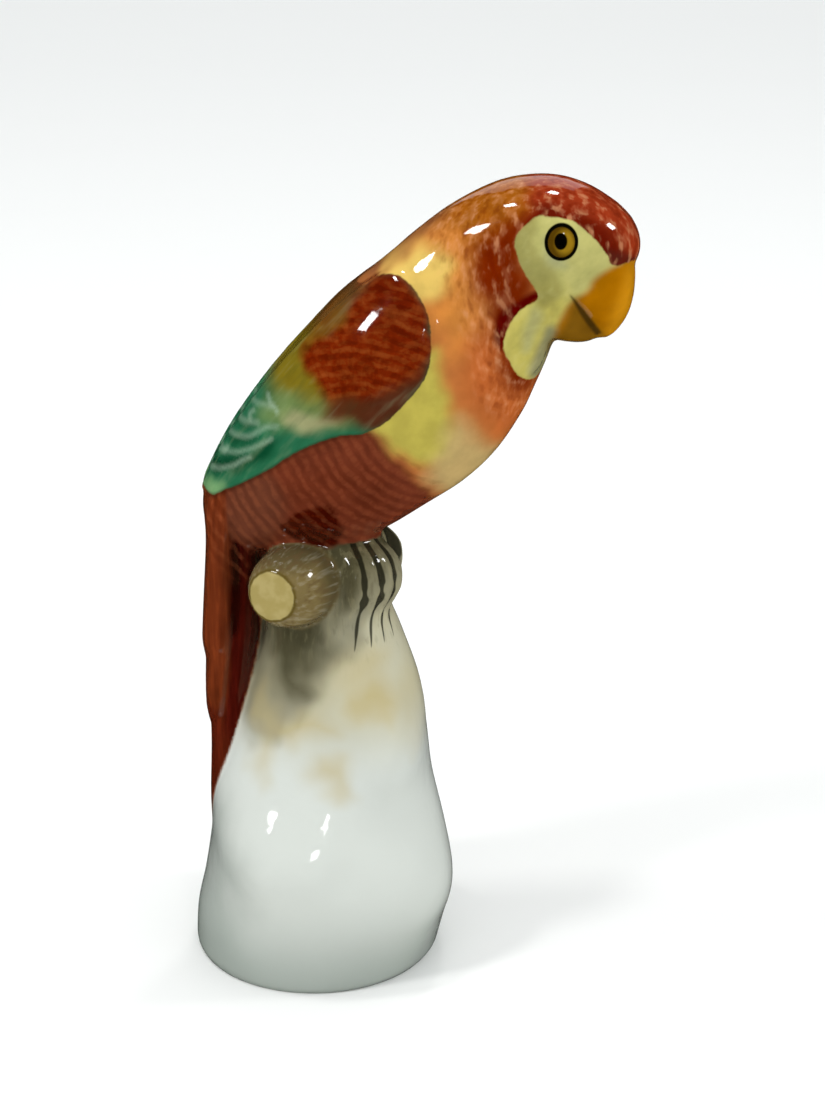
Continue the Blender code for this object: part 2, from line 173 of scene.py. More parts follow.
# Along the axis from rump to crown, then back, breast and width, each as a share of its own size
BODY_PROFILE = [
    (0.000, 0.54, -0.42, 0.34),
    (0.035, 0.68, -0.18, 0.56),
    (0.095, 0.77, 0.20, 0.74),
    (0.170, 0.85, 0.56, 0.87),
    (0.245, 0.90, 0.72, 0.94),
    (0.330, 0.935, 0.85, 0.99),
    (0.415, 0.95, 0.97, 1.00),
    (0.500, 0.955, 0.99, 0.97),
    (0.585, 0.925, 0.90, 0.89),
    (0.640, 0.905, 0.79, 0.83),
    (0.690, 0.895, 0.68, 0.79),
    (0.745, 0.86, 0.55, 0.775),
    (0.815, 0.79, 0.51, 0.81),
    (0.880, 0.69, 0.58, 0.83),
    (0.930, 0.55, 0.62, 0.77),
    (0.965, 0.40, 0.57, 0.61),
    (0.988, 0.22, 0.43, 0.41),
    (1.000, 0.02, 0.25, 0.18),
]


def body(name, rise):
    """The bird's trunk and head, grown outward by rise, or shrunk where rise is negative."""
    rings = []
    for share, back, breast, width in smooth_rows(BODY_PROFILE):
        if width * BODY_WIDTH / 2 < -2 * rise:
            continue
        along = share * (BODY_LENGTH + 2 * rise) - RUMP_REACH - rise
        back_point = on_body(along, -back * BACK_DEPTH - rise)
        breast_point = on_body(along, breast * BREAST_DEPTH + rise)
        rings.append(side_oval(back_point, breast_point, width * BODY_WIDTH / 2 + rise, 2.1))
    return skin(name, rings)


trunk = body("trunk", 0.0)
print("trunk:", len(trunk.data.polygons), "faces")

# %% [markdown]
# ## Folded wings and cheek lobes
# A folded wing is a low raised field on the trunk with a soft edge. The trunk is grown by the height of
# the relief and cut to the wing's outline, so the relief follows the body's curve exactly. The bare
# cheek lobe under the face is made the same way.

# %% Raised fields
WING_OUTLINE = [
    (0.035, -0.78), (0.115, -0.64), (0.195, -0.54), (0.265, -0.45), (0.345, -0.35),
    (0.425, -0.24), (0.500, -0.23), (0.570, -0.30), (0.620, -0.48), (0.637, -0.72),
    (0.610, -0.98), (0.530, -1.22), (0.330, -1.28), (0.130, -1.18), (0.020, -1.00),
]
CHEEK_OUTLINE = [
    (0.780, -0.06), (0.752, -0.10), (0.725, -0.09), (0.698, -0.04), (0.673, 0.06), (0.658, 0.22),
    (0.650, 0.42), (0.658, 0.57), (0.690, 0.60), (0.730, 0.54), (0.765, 0.38), (0.785, 0.12),
]


def closed_curve(outline, steps=SPAN_STEPS):
    """Smooth closed curve through an outline's corners."""
    around = list(outline[-1:]) + list(outline) + list(outline[:2])
    return smooth_rows(around, steps)[steps : -steps - 1]


def raised_patch(name, outline, depth, rise):
    """The part of a swollen body that lies inside an outline, on each side of the bird."""
    patches = []
    for side in (-1, 1):
        curve = closed_curve(outline)
        points = [on_body(share * BODY_LENGTH - RUMP_REACH, out * depth) for share, out in curve]
        gap = [Vector((0, side * share * WING_SPACING, 0)) for share, _ in curve]
        inner = [point + away for point, away in zip(points, gap)]
        outer = [point + Vector((0, side * BODY_WIDTH, 0)) for point in points]
        slab = skin(f"{name} edge {side}", [inner, outer])
        patch = body(f"{name} {side}", rise)
        combine(patch, "INTERSECT", slab)
        patches.append(new_object(f"{name} relief {side}", finished_mesh(patch)))
        bpy.data.objects.remove(patch)
        bpy.data.objects.remove(slab)
    return patches


wings = raised_patch("wing", WING_OUTLINE, BACK_DEPTH, WING_RISE)
cheeks = raised_patch("cheek", CHEEK_OUTLINE, BREAST_DEPTH, CHEEK_RISE)
print("relief fields:", [patch.name for patch in wings + cheeks])

# %% [markdown]
# ## Beak and eyes
# The hooked upper mandible closes over a shorter lower one. Both run along two rails of the middle
# plane, an inner and an outer edge, and get narrower towards the hook. The eye is only a shallow dome:
# its ring, iris and pupil are paint.

# %% Mandibles and eye domes
def on_beak(forward, down):
    """Point of the middle plane from the brow, forward and down as shares of the beak's drop."""
    brow = on_body(BODY_LENGTH - RUMP_REACH - 0.0040, BREAST_DEPTH * 0.60)
    return brow + Vector((forward * BEAK_DROP, 0, -down * BEAK_DROP))


# Inner edge, then outer edge, forward and down, then the width, of sections towards the hooked tip
UPPER_MANDIBLE = [
    (-0.94, 0.10, -0.22, -0.28, 0.86),
    (-0.82, 0.24, -0.03, 0.02, 1.00),
    (-0.70, 0.38, -0.01, 0.22, 0.95),
    (-0.60, 0.50, -0.03, 0.40, 0.81),
    (-0.51, 0.59, -0.08, 0.55, 0.63),
    (-0.43, 0.67, -0.17, 0.69, 0.42),
    (-0.35, 0.75, -0.26, 0.77, 0.20),
]
LOWER_MANDIBLE = [
    (-0.80, 0.06, -1.02, 0.60, 0.90),
    (-0.62, 0.20, -0.78, 0.75, 1.00),
    (-0.50, 0.37, -0.61, 0.79, 0.87),
    (-0.42, 0.54, -0.46, 0.79, 0.66),
    (-0.36, 0.68, -0.36, 0.77, 0.30),
]


def mandible(name, rows, width):
    rings = []
    for back_x, back_z, front_x, front_z, share in smooth_rows(rows):
        back, front = on_beak(back_x, back_z), on_beak(front_x, front_z)
        rings.append(side_oval(back, front, share * width / 2, 2.3))
    return skin(name, rings)


EYE_ALONG, EYE_OUT = 0.892 * BODY_LENGTH - RUMP_REACH, -0.18 * BACK_DEPTH


def eye_dome(side):
    centre = on_body(EYE_ALONG, EYE_OUT)
    rings = []
    for step in range(9):
        angle = math.pi * (0.06 + 0.88 * step / 8)
        across = side * (0.775 * BODY_WIDTH / 2 - EYE_RISE * math.cos(angle) * 2)
        radius = EYE_RADIUS * math.sin(angle)
        ring = [Vector((radius * math.cos(way), across, radius * math.sin(way))) for way in turns(32)]
        rings.append([centre + point for point in ring])
    return skin(f"eye {side}", rings)


upper_beak = mandible("upper mandible", UPPER_MANDIBLE, BEAK_WIDTH)
lower_beak = mandible("lower mandible", LOWER_MANDIBLE, JAW_WIDTH)
eyes = [eye_dome(side) for side in (-1, 1)]
print("eye centre in mm:", [round(1000 * x, 1) for x in on_body(EYE_ALONG, EYE_OUT)])

# %% [markdown]
# ## The stump
# The stump is a tall cone with a waist, wide and soft at the foot, with low mounds where the modeller
# pressed the clay. Sections along its height would be dull circles, so each mound adds a smooth bump
# that fades with angle and height.

# %% Stump
STUMP_PROFILE = [
    (-0.06, 0.00, 0.06, 0.00),
    (0.00, 0.00, 0.00, 0.00),
    (0.09, 0.03, -0.17, -0.04),
    (0.18, 0.15, -0.29, -0.04),
    (0.29, 0.26, -0.14, 0.06),
    (0.41, 0.32, 0.13, 0.25),
    (0.53, 0.51, 0.23, 0.45),
    (0.65, 0.73, 0.37, 0.64),
    (0.77, 0.97, 0.74, 0.82),
    (0.86, 1.00, 1.04, 0.95),
    (0.95, 1.00, 1.04, 1.00),
    (1.01, 1.12, 1.22, 1.14),
    (1.07, 1.20, 1.50, 1.26),
]
# Degrees from +X towards -Y, height as a share of the stump's, spread in degrees and as a share, strength
MOUNDS = [
    (114, 0.31, 34, 0.110, 1.90),
    (112, 0.50, 34, 0.060, -0.35),
    (41, 0.22, 28, 0.120, 1.40),
    (50, 0.53, 25, 0.075, 1.15),
    (98, 0.88, 42, 0.130, 0.70),
    (-120, 0.27, 36, 0.120, 1.10),
    (-50, 0.40, 34, 0.110, 0.90),
]


def stump_rows():
    """Height, back x, front x and half width of the stump, from the floor to inside the bird."""
    foot = np.array([-FOOT_LENGTH / 2, FOOT_LENGTH / 2, FOOT_WIDTH / 2])
    perch = np.array([PERCH_SHIFT - PERCH_LENGTH / 2, PERCH_SHIFT + PERCH_LENGTH / 2, PERCH_WIDTH / 2])
    profile = smooth_rows(STUMP_PROFILE)
    return np.column_stack([profile[:, 0] * STUMP_HEIGHT, foot + profile[:, 1:] * (perch - foot)])


STUMP_ROWS = stump_rows()


def mound_rise(angle, height):
    rise = 0.0
    for turn, level, spread, reach, share in MOUNDS:
        away = (math.degrees(angle) + turn + 180) % 360 - 180
        up = (height / STUMP_HEIGHT - level) / reach
        rise += share * SWELL_RISE * math.exp(-((away / spread) ** 2) - up**2)
    return rise


def stump_point(angle, height, outward=0.0):
    """Point at an angle from +X on the stump's side, moved outward."""
    levels = STUMP_ROWS[:, 0]
    back, front, half_width = (np.interp(height, levels, column) for column in STUMP_ROWS[:, 1:].T)
    edge = FOOT_EDGE - min(max(height, 0.0), FOOT_EDGE)
    outward += mound_rise(angle, height) - FOOT_EDGE + math.sqrt(FOOT_EDGE**2 - edge**2)
    x = (back + front) / 2 + ((front - back) / 2 + outward) * math.cos(angle)
    return Vector((x, (half_width + outward) * math.sin(angle), height))


def stump(name, outward, bottom, top, count):
    heights = [row[0] for row in STUMP_ROWS] + [bottom, top, 0.3 * FOOT_EDGE, 0.7 * FOOT_EDGE, FOOT_EDGE]
    rings = []
    for height in sorted(height for height in heights if bottom <= height <= top):
        rings.append([stump_point(angle, height, outward) for angle in turns(count)])
    return skin(name, rings)


trunk_of_tree = stump("stump", 0.0, -0.05 * STUMP_HEIGHT, 1.06 * STUMP_HEIGHT, 2 * RING_POINTS)
print("stump:", len(trunk_of_tree.data.polygons), "faces")

# %% [markdown]
# ## The tail
# The tail hangs straight down behind the stump. Its feathers lie in rows, each shorter row a little
# proud of the longer one below, so it is three long lofts inside each other.

# %% Tail feathers
# Down from the rump as a share of the length, outer and inner face as shares of the depth, the width
TAIL_PROFILE = [
    (0.00, -0.20, -0.87, 0.80),
    (0.08, -0.02, -0.87, 0.98),
    (0.18, -0.03, -0.77, 1.00),
    (0.36, 0.05, -0.72, 0.96),
    (0.53, 0.11, -0.62, 0.88),
    (0.71, 0.12, -0.42, 0.76),
    (0.83, 0.15, -0.27, 0.62),
    (0.94, 0.13, -0.12, 0.46),
    (1.00, 0.02, -0.02, 0.26),
]
FEATHER_ENDS = [1.00, 0.66, 0.50]


def tail_row(layer, end):
    root = on_body(-0.18 * BACK_DEPTH, -0.80 * BACK_DEPTH)
    rings = []
    for down, outer, inner, width in smooth_rows(TAIL_PROFILE):
        if down > end:
            break
        tip = min(1.0, 12 * (end - down) + 0.25)
        rise = layer * FEATHER_RISE
        inner *= 0.5 if layer else 1.0
        near = root + Vector((-inner * TAIL_DEPTH, 0, -down * TAIL_LENGTH))
        far = root + Vector((-outer * TAIL_DEPTH - rise * tip, 0, -down * TAIL_LENGTH))
        rings.append(side_oval(far, near, width * (TAIL_WIDTH / 2 + rise) * math.sqrt(tip), 2.6))
    return skin(f"feathers {layer}", rings)


tail = [tail_row(layer, end) for layer, end in enumerate(FEATHER_ENDS)]
print("tail rows:", len(tail))

# %% [markdown]
# ## The sawn side branch
# A short stub of a branch sticks out of the stump towards the camera. It is a round tube that thins to
# a flat sawn end, and its section is swept square to its own axis.

# %% Branch
# Way along the branch as a share, and how far it has thinned to the sawn end's radius
BRANCH_PROFILE = [
    (0.00, 0.0), (0.45, -0.10), (0.62, -0.06), (0.76, 0.12), (0.87, 0.42), (0.96, 0.84), (1.00, 1.0),
]
BRANCH_WAY = Vector((
    -math.sin(math.radians(BRANCH_TURN)) * math.cos(math.radians(BRANCH_RISE)),
    -math.cos(math.radians(BRANCH_TURN)) * math.cos(math.radians(BRANCH_RISE)),
    math.sin(math.radians(BRANCH_RISE)),
))
BRANCH_ROOT = Vector((PERCH_SHIFT, 0, STUMP_HEIGHT - BRANCH_DROP))


def tube(name, points, radii, sides):
    """Round tube along points of space, with its own radius at each."""
    rings = []
    for index, point in enumerate(points):
        way = points[min(index + 1, len(points) - 1)] - points[max(index - 1, 0)]
        turn = way.to_track_quat("Z", "Y")
        circle = [Vector((math.cos(angle), math.sin(angle), 0)) for angle in turns(sides)]
        rings.append([point + turn @ spot * radii[index] for spot in circle])
    return skin(name, rings)


rows = smooth_rows(BRANCH_PROFILE)
branch = tube(
    "branch",
    [BRANCH_ROOT + BRANCH_WAY * BRANCH_REACH * row[0] for row in rows],
    [BRANCH_RADIUS + row[1] * (CUT_RADIUS - BRANCH_RADIUS) for row in rows],
    RING_POINTS,
)
print("branch points towards", [round(x, 2) for x in BRANCH_WAY])

# %% [markdown]
# ## Toes, with Geometry Nodes
# Four toes of each foot grip the perch side by side. They repeat round the stump at an even angle, and
# a repeat is what Geometry Nodes are good at: one toe's centre line goes in, with its thickness stored
# on each point, and the tree sweeps it to a tube and sets copies round the perch, on both sides.
# Copying an object by hand would work too, but here one number changes the grip of both feet.

# %% One toe's centre line
# Down a toe as a share of its length, then its distance from the stump and its radius, in toe radii
TOE_PROFILE = [
    (-0.26, -3.6, 0.9),
    (-0.10, -1.2, 1.0),
    (0.08, 0.75, 1.08),
    (0.32, 1.55, 1.05),
    (0.58, 1.30, 1.10),
    (0.82, 0.35, 0.9),
    (1.00, -0.35, 0.6),
]


def toe_line():
    rows = smooth_rows(TOE_PROFILE)
    middle = math.radians(FIRST_TOE + TOE_STEP * (TOES_PER_FOOT - 1) / 2)
    points = []
    for down, out, _ in rows:
        spot = stump_point(-middle, STUMP_HEIGHT - down * TOE_LENGTH, out * TOE_RADIUS)
        away = math.hypot(spot.x - PERCH_SHIFT, spot.y)
        points.append(Vector((away, 0, spot.z)))
    mesh = bpy.data.meshes.new("toe line")
    mesh.from_pydata(points, [(i, i + 1) for i in range(len(points) - 1)], [])
    girth = mesh.attributes.new("girth", "FLOAT", "POINT")
    girth.data.foreach_set("value", [row[2] * TOE_RADIUS for row in rows])
    return new_object("toe line", mesh)


toe_source = toe_line()
print("toe line:", len(toe_source.data.vertices), "points")

# %% The tree that sets the toes
def add(tree, kind, links=None, **settings):
    """Adds a node with its settings. Each input in links gets a value, or a socket or node to read."""
    made = tree.nodes.new(kind)
    for key, value in settings.items():
        setattr(made, key, value)
    for key, value in (links or {}).items():
        if isinstance(value, bpy.types.Node):
            value = value.outputs[0]
        if isinstance(value, bpy.types.NodeSocket):
            tree.links.new(value, made.inputs[key])
        else:
            made.inputs[key].default_value = value
    return made


def toe_tree(clay):
    tree = bpy.data.node_groups.new("toes round a perch", "GeometryNodeTree")
    face = tree.interface
    face.new_socket("Geometry", in_out="INPUT", socket_type="NodeSocketGeometry")
    for name, kind in (
        ("Toes per foot", "NodeSocketInt"),
        ("First toe", "NodeSocketFloat"),
        ("Step", "NodeSocketFloat"),
        ("Perch centre", "NodeSocketVector"),
        ("Tube sides", "NodeSocketInt"),
        ("Clay", "NodeSocketMaterial"),
    ):
        face.new_socket(name, in_out="INPUT", socket_type=kind)
    face.new_socket("Geometry", in_out="OUTPUT", socket_type="NodeSocketGeometry")
    given = add(tree, "NodeGroupInput").outputs
    line = add(tree, "GeometryNodeMeshToCurve", {"Mesh": given["Geometry"]})
    girth = add(tree, "GeometryNodeInputNamedAttribute", {"Name": "girth"}, data_type="FLOAT")
    thick = add(tree, "GeometryNodeSetCurveRadius", {"Curve": line, "Radius": girth})
    circle = {"Resolution": given["Tube sides"], "Radius": 1.0}
    circle = add(tree, "GeometryNodeCurvePrimitiveCircle", circle)
    toe = {"Curve": thick, "Profile Curve": circle, "Fill Caps": True}
    toe = add(tree, "GeometryNodeCurveToMesh", toe)
    if "Scale" in toe.inputs:
        tree.links.new(girth.outputs[0], toe.inputs["Scale"])
    both = add(tree, "ShaderNodeMath", {0: given["Toes per foot"], 1: 2.0}, operation="MULTIPLY")
    spots = add(tree, "GeometryNodePoints", {"Count": both, "Position": given["Perch centre"]})
    number = add(tree, "GeometryNodeInputIndex")
    whole = add(tree, "ShaderNodeMath", {0: number, 1: 2.0}, operation="DIVIDE")
    whole = add(tree, "ShaderNodeMath", {0: whole}, operation="FLOOR")
    turned = {0: whole, 1: given["Step"], 2: given["First toe"]}
    turned = add(tree, "ShaderNodeMath", turned, operation="MULTIPLY_ADD")
    odd = add(tree, "ShaderNodeMath", {0: number, 1: 2.0}, operation="MODULO")
    side = add(tree, "ShaderNodeMath", {0: odd, 1: 2.0, 2: -1.0}, operation="MULTIPLY_ADD")
    angle = add(tree, "ShaderNodeMath", {0: turned, 1: side}, operation="MULTIPLY")
    spin = add(tree, "ShaderNodeCombineXYZ", {"Z": angle})
    copies = {"Points": spots, "Instance": toe, "Rotation": spin}
    copies = add(tree, "GeometryNodeInstanceOnPoints", copies)
    real = add(tree, "GeometryNodeRealizeInstances", {"Geometry": copies})
    dressed = {"Geometry": real, "Material": given["Clay"]}
    dressed = add(tree, "GeometryNodeSetMaterial", dressed)
    add(tree, "NodeGroupOutput", {"Geometry": dressed})
    return tree


def grow(source, tree, values, name):
    """The plain mesh that a Geometry Nodes tree makes from a source. Inputs are set by identifier."""
    step = source.modifiers.new(name, "NODES")
    step.node_group = tree
    for item in tree.interface.items_tree:
        if item.name in values:
            step[item.identifier] = values[item.name]
    grown = new_object(name, finished_mesh(source))
    bpy.data.objects.remove(source)
    return grown


wet_clay = bpy.data.materials.new("wet clay")
toes = grow(
    toe_source,
    toe_tree(wet_clay),
    {
        "Toes per foot": TOES_PER_FOOT,
        "First toe": math.radians(FIRST_TOE),
        "Step": math.radians(TOE_STEP),
        "Perch centre": (PERCH_SHIFT, 0.0, 0.0),
        "Tube sides": 14,
        "Clay": wet_clay,
    },
    "toes",
)
print("toes:", len(toes.data.polygons), "faces, reach in mm",
      round(1000 * max(math.hypot(v.co.x - PERCH_SHIFT, v.co.y) for v in toes.data.vertices), 1))

# %% [markdown]
# ## One skin
# Glaze flows into every joint, so nothing on the real piece meets at a sharp crease. The forms are
# joined, melted together on a grid finer than the painter's brush, and then smoothed a few times.
# A Boolean union would keep the creases, which would look like plastic parts pushed together.

# %% Melting the forms together
def joined(name, objects):
    shape = bmesh.new()
    for obj in objects:
        shape.from_mesh(finished_mesh(obj))
    mesh = bpy.data.meshes.new(name)
    shape.to_mesh(mesh)
    shape.free()
    return new_object(name, mesh)


bird_forms = [trunk] + wings + cheeks + eyes
forms = bird_forms + [upper_beak, lower_beak, trunk_of_tree, branch, toes] + tail
clay = joined("clay", forms)
cells = clay.modifiers.new("blend", "REMESH")
cells.mode, cells.voxel_size = "VOXEL", CLAY_GRAIN
glaze = clay.modifiers.new("glaze", "SMOOTH")
glaze.factor, glaze.iterations = 0.5, GLAZE_ROUNDS
figure = new_object("glazed_parrot", finished_mesh(clay))
bpy.data.objects.remove(clay)
print("one skin:", len(figure.data.polygons), "faces")

# %% [markdown]
# ## What the mould leaves inside
# Slip casting leaves a wall of about 3 mm round one closed hollow, a ground foot ring round a shallow
# recess, and a vent hole that lets the air out in the kiln. They are cut as in the solid, because a
# buyer turns such a figure over first.

# %% Hollow, recess and vent
def slab_below_floor():
    half = FOOT_LENGTH + FOOT_WIDTH
    corners = [(-half, -half), (half, -half), (half, half), (-half, half)]
    return skin("below floor", [[Vector((x, y, z)) for x, y in corners] for z in (-half, 0.0)])


def hollow():
    floor = FOOT_RECESS + WALL
    recess = []
    for height, outward in ((-WALL, -FOOT_RING_WIDTH), (FOOT_RECESS, -FOOT_RING_WIDTH - FOOT_RECESS / 2)):
        ring = [stump_point(angle, FOOT_EDGE, outward) for angle in turns(RING_POINTS)]
        recess.append([Vector((point.x, point.y, height)) for point in ring])
    vent = [Vector((-VENT_SHIFT, 0, -WALL)), Vector((-VENT_SHIFT, 0, floor + WALL))]
    return [
        stump("hollow stump", -WALL, floor, STUMP_HEIGHT + SEAT_LIFT, 32),
        body("hollow bird", -WALL),
        skin("foot recess", recess),
        tube("vent", vent, [VENT_RADIUS, VENT_RADIUS], 24),
    ]


outside = BVHTree.FromObject(figure, bpy.context.evaluated_depsgraph_get())
cutters = [slab_below_floor()] + hollow()
for cutter in cutters:
    combine(figure, "DIFFERENCE", cutter)
cut_mesh = finished_mesh(figure)
figure.modifiers.clear()
figure.data = cut_mesh
for cutter in cutters:
    bpy.data.objects.remove(cutter)
print("cut skin:", len(cut_mesh.polygons), "faces")

# %% [markdown]
# ## Where the paint goes
# The painter works on the outside only, so each point of the skin first gets its coordinates in
# millimetres: its place, its place along and across the leaning body, and how near it lies to each
# form. A paint field is a smooth outline in the plane of the bird's side, and it falls on both sides
# alike, as a painter repeats a pattern.

# %% Coordinates of every point
count = len(cut_mesh.vertices)
place = np.empty(count * 3)
cut_mesh.vertices.foreach_get("co", place)
place = place.reshape(-1, 3) * 1000
lean = math.radians(BODY_LEAN)
seat = 1000 * (STUMP_HEIGHT + SEAT_LIFT)
side_plane = np.column_stack([
    place[:, 0] * math.cos(lean) + (place[:, 2] - seat) * math.sin(lean),
    place[:, 0] * math.sin(lean) - (place[:, 2] - seat) * math.cos(lean),
])
upright_plane = place[:, [0, 2]]


def nearness(objects):
    """Distance in mm from every point of the skin to the nearest of some forms."""
    found = np.full(count, 99.0)
    for obj in objects:
        corners = [vertex.co * 1000 for vertex in obj.data.vertices]
        tree = BVHTree.FromPolygons(corners, [face.vertices for face in obj.data.polygons])
        away = [tree.find_nearest(Vector(point))[3] for point in place]
        found = np.minimum(found, away)
    return found


to_bird = nearness(bird_forms)
to_beak = nearness([upper_beak, lower_beak])
to_stump = nearness([trunk_of_tree])
to_branch = nearness([branch])
to_toes = nearness([toes])
to_tail = nearness(tail)
for form in forms:
    bpy.data.objects.remove(form)
print("painted points:", count)

# %% [markdown]
# ## Thumb marks
# The modeller pressed a few places of the soft original in or out: the shoulder of each wing and the
# breast swell, the nape is a little hollow, the stump's near side is dented by thumbs, and a groove parts
# the outer tail feathers from the middle ones. Each is a soft push along the skin's own normal, about
# half a millimetre at most, and only the outside is pushed. Before that, the glaze that pools between
# the toes and along the middle of the back is levelled: each point there moves towards the mean of its
# neighbours. A sculpting brush would do the same by hand, but it couldn't be repeated.

# %% Pushing the skin
LEVELLING_ROUNDS = 12


def soft(depth, softness):
    """Coverage from 0 to 1 as depth goes from minus to plus the softness."""
    share = np.clip(depth / softness / 2 + 0.5, 0, 1)
    return share * share * (3 - 2 * share)


# Places on the bird: along, outward, reach and push in mm
SWELLINGS = [
    (30.0, -12.5, 11.5, 0.60),
    (44.5, -15.0, 8.0, -0.50),
    (35.0, 2.0, 11.0, 0.30),
    (5.0, -3.0, 9.0, 0.35),
]
# Places on the stump, seen from the side: x, height, reach and push in mm
STUMP_THUMBS = [
    (-10.0, 25.0, 9.0, 0.45), (-5.0, 39.5, 4.5, -0.30), (13.0, 42.5, 7.0, 0.40), (5.5, 41.0, 4.5, -0.35),
    (13.0, 20.5, 8.0, 0.40), (5.0, 21.0, 4.5, -0.30),
]
TAIL_GROOVE = [(-12.2, 76.0), (-11.6, 72.0), (-11.2, 66.0), (-12.0, 58.0), (-13.2, 50.0), (-14.4, 42.0)]
GROOVE_HALF, GROOVE_DEPTH = 0.9, 0.35
push = np.zeros(count)
for along, outward, reach, rise in SWELLINGS:
    away = np.hypot(side_plane[:, 0] - along, side_plane[:, 1] - outward) / reach
    push += rise * np.clip(1 - away**2, 0, 1) ** 2 * (to_bird < 1.0)
for spot_x, spot_z, reach, rise in STUMP_THUMBS:
    away = np.hypot(upright_plane[:, 0] - spot_x, upright_plane[:, 1] - spot_z) / reach
    push += rise * np.clip(1 - away**2, 0, 1) ** 2 * (to_stump < 1.0) * (place[:, 1] < 0)
line = smooth_rows(TAIL_GROOVE)
for a, b in zip(line, line[1:]):
    edge = b - a
    share = np.clip(((upright_plane - a) @ edge) / (edge @ edge), 0, 1)
    away = np.hypot(*(upright_plane - a - share[:, None] * edge).T)
    cut = -GROOVE_DEPTH * (1 - (away / GROOVE_HALF) ** 2)
    push = np.where((to_tail < 1.0) & (away < GROOVE_HALF), np.minimum(push, cut), push)
by_toes = soft(2.4 - to_toes, 1.2)
by_spine = soft(-14.5 - side_plane[:, 1], 2.0) * soft(8.0 - np.abs(place[:, 1]), 3.0) * (to_bird < 1.0)
levelled = np.maximum(by_toes, by_spine)
ends = np.empty(2 * len(cut_mesh.edges), np.int64)
cut_mesh.edges.foreach_get("vertices", ends)
ends = ends.reshape(-1, 2)
neighbours = np.maximum(np.bincount(ends.ravel(), minlength=count), 1)[:, None]
level = place.copy()
for _ in range(LEVELLING_ROUNDS):
    total = np.zeros_like(level)
    np.add.at(total, ends[:, 0], level[ends[:, 1]])
    np.add.at(total, ends[:, 1], level[ends[:, 0]])
    level += 0.5 * levelled[:, None] * (total / neighbours - level)
cut_mesh.vertices.foreach_set("co", (level / 1000).ravel())
cut_mesh.update()
facing = np.empty(count * 3)
cut_mesh.vertices.foreach_get("normal", facing)
pushed = level / 1000 + facing.reshape(-1, 3) * push[:, None] / 1000
cut_mesh.vertices.foreach_set("co", pushed.ravel())
cut_mesh.update()
print("pushed points:", int((push != 0).sum()))

# %% [markdown]
# ## Tools of the painter
# `linear` turns the usual sRGB hex value into the linear light that a shader works in. `depth_inside`
# tells how deep a point lies inside an outline, and a soft brush turns that depth into coverage. A field
# is such an outline filled with one enamel, and `unsteady` gives its border the wobble of a hand.

# %% Brush functions
def linear(value):
    """Linear RGB of an sRGB hex value."""
    parts = [int(value[i : i + 2], 16) / 255 for i in (1, 3, 5)]
    return np.array([p / 12.92 if p <= 0.04045 else ((p + 0.055) / 1.055) ** 2.4 for p in parts])


def depth_inside(points, outline):
    """Depth in mm of each point inside a smooth closed outline, negative outside."""
    ring = closed_curve(outline)
    near = np.full(len(points), 1e9)
    inside = np.zeros(len(points), bool)
    for a, b in zip(ring, np.roll(ring, -1, axis=0)):
        edge = b - a
        share = np.clip(((points - a) @ edge) / (edge @ edge), 0, 1)
        near = np.minimum(near, np.hypot(*(points - a - share[:, None] * edge).T))
        crosses = (a[1] > points[:, 1]) != (b[1] > points[:, 1])
        meets = a[0] + (points[:, 1] - a[1]) * edge[0] / (edge[1] or 1e-9)
        inside ^= crosses & (points[:, 0] < meets)
    return np.where(inside, near, -near)


def away_from(points, path):
    """Distance in mm of each point from a smooth open path."""
    line = smooth_rows(path)
    near = np.full(len(points), 1e9)
    for a, b in zip(line, line[1:]):
        edge = b - a
        share = np.clip(((points - a) @ edge) / (edge @ edge), 0, 1)
        near = np.minimum(near, np.hypot(*(points - a - share[:, None] * edge).T))
    return near


def lay(layer, coverage, value):
    """Brushes a paint over a layer."""
    layer += np.clip(coverage, 0, 1)[:, None] * (linear(value) - layer)


def field(layer, points, value, softness, strength, outline):
    lay(layer, strength * soft(depth_inside(points, outline), softness), value)


# The same wobble each time that the script runs
field_noise.seed_set(3)


def unsteady(points, grain, reach):
    """Points of a plane shifted as by an unsteady hand, by up to reach mm on a grain of grain mm."""
    wobble = np.array([field_noise.noise_vector(Vector(spot) / grain) for spot in place])
    return points + reach * wobble[:, :2]


# %% [markdown]
# ## Plumage of the body
# The enamels are laid from light to dark, as on the real piece: a salmon ground, yellow where the
# mantle and the lower breast glow, red-brown on crown, neck and belly, and the darkest red last. The
# numbers of an outline are millimetres along the body from its seat and outward to the breast.

# %% Body paints
SALMON, PEACH, NAPE, MANTLE = "#B46C36", "#CA8038", "#9E5812", "#D6B45E"
BREAST, GOLD, LOWER_GOLD = "#BA602C", "#B6A84B", "#BCA36A"
CROWN, DARK_CROWN, NECK_RED, CRESCENT = "#983518", "#5E1004", "#742200", "#520000"
BELLY, DARK_BELLY, RUMP, THIGH, BACK_BROWN = "#6C311D", "#541F0C", "#623624", "#380600", "#64422F"
BROW_SHADE_PLUM = "#4F2218"

THIGH_EDGE = [
    (-1.6, -4.5), (0, -4.6), (2.8, -4.3), (4.9, -3.2), (5.9, -1.7), (5.8, 0), (4.9, 2.6), (3.1, 3.9),
    (1.0, 4.4), (-0.9, 2.2), (-1.9, -1.5),
]
body_paint = np.tile(linear(SALMON), (count, 1))
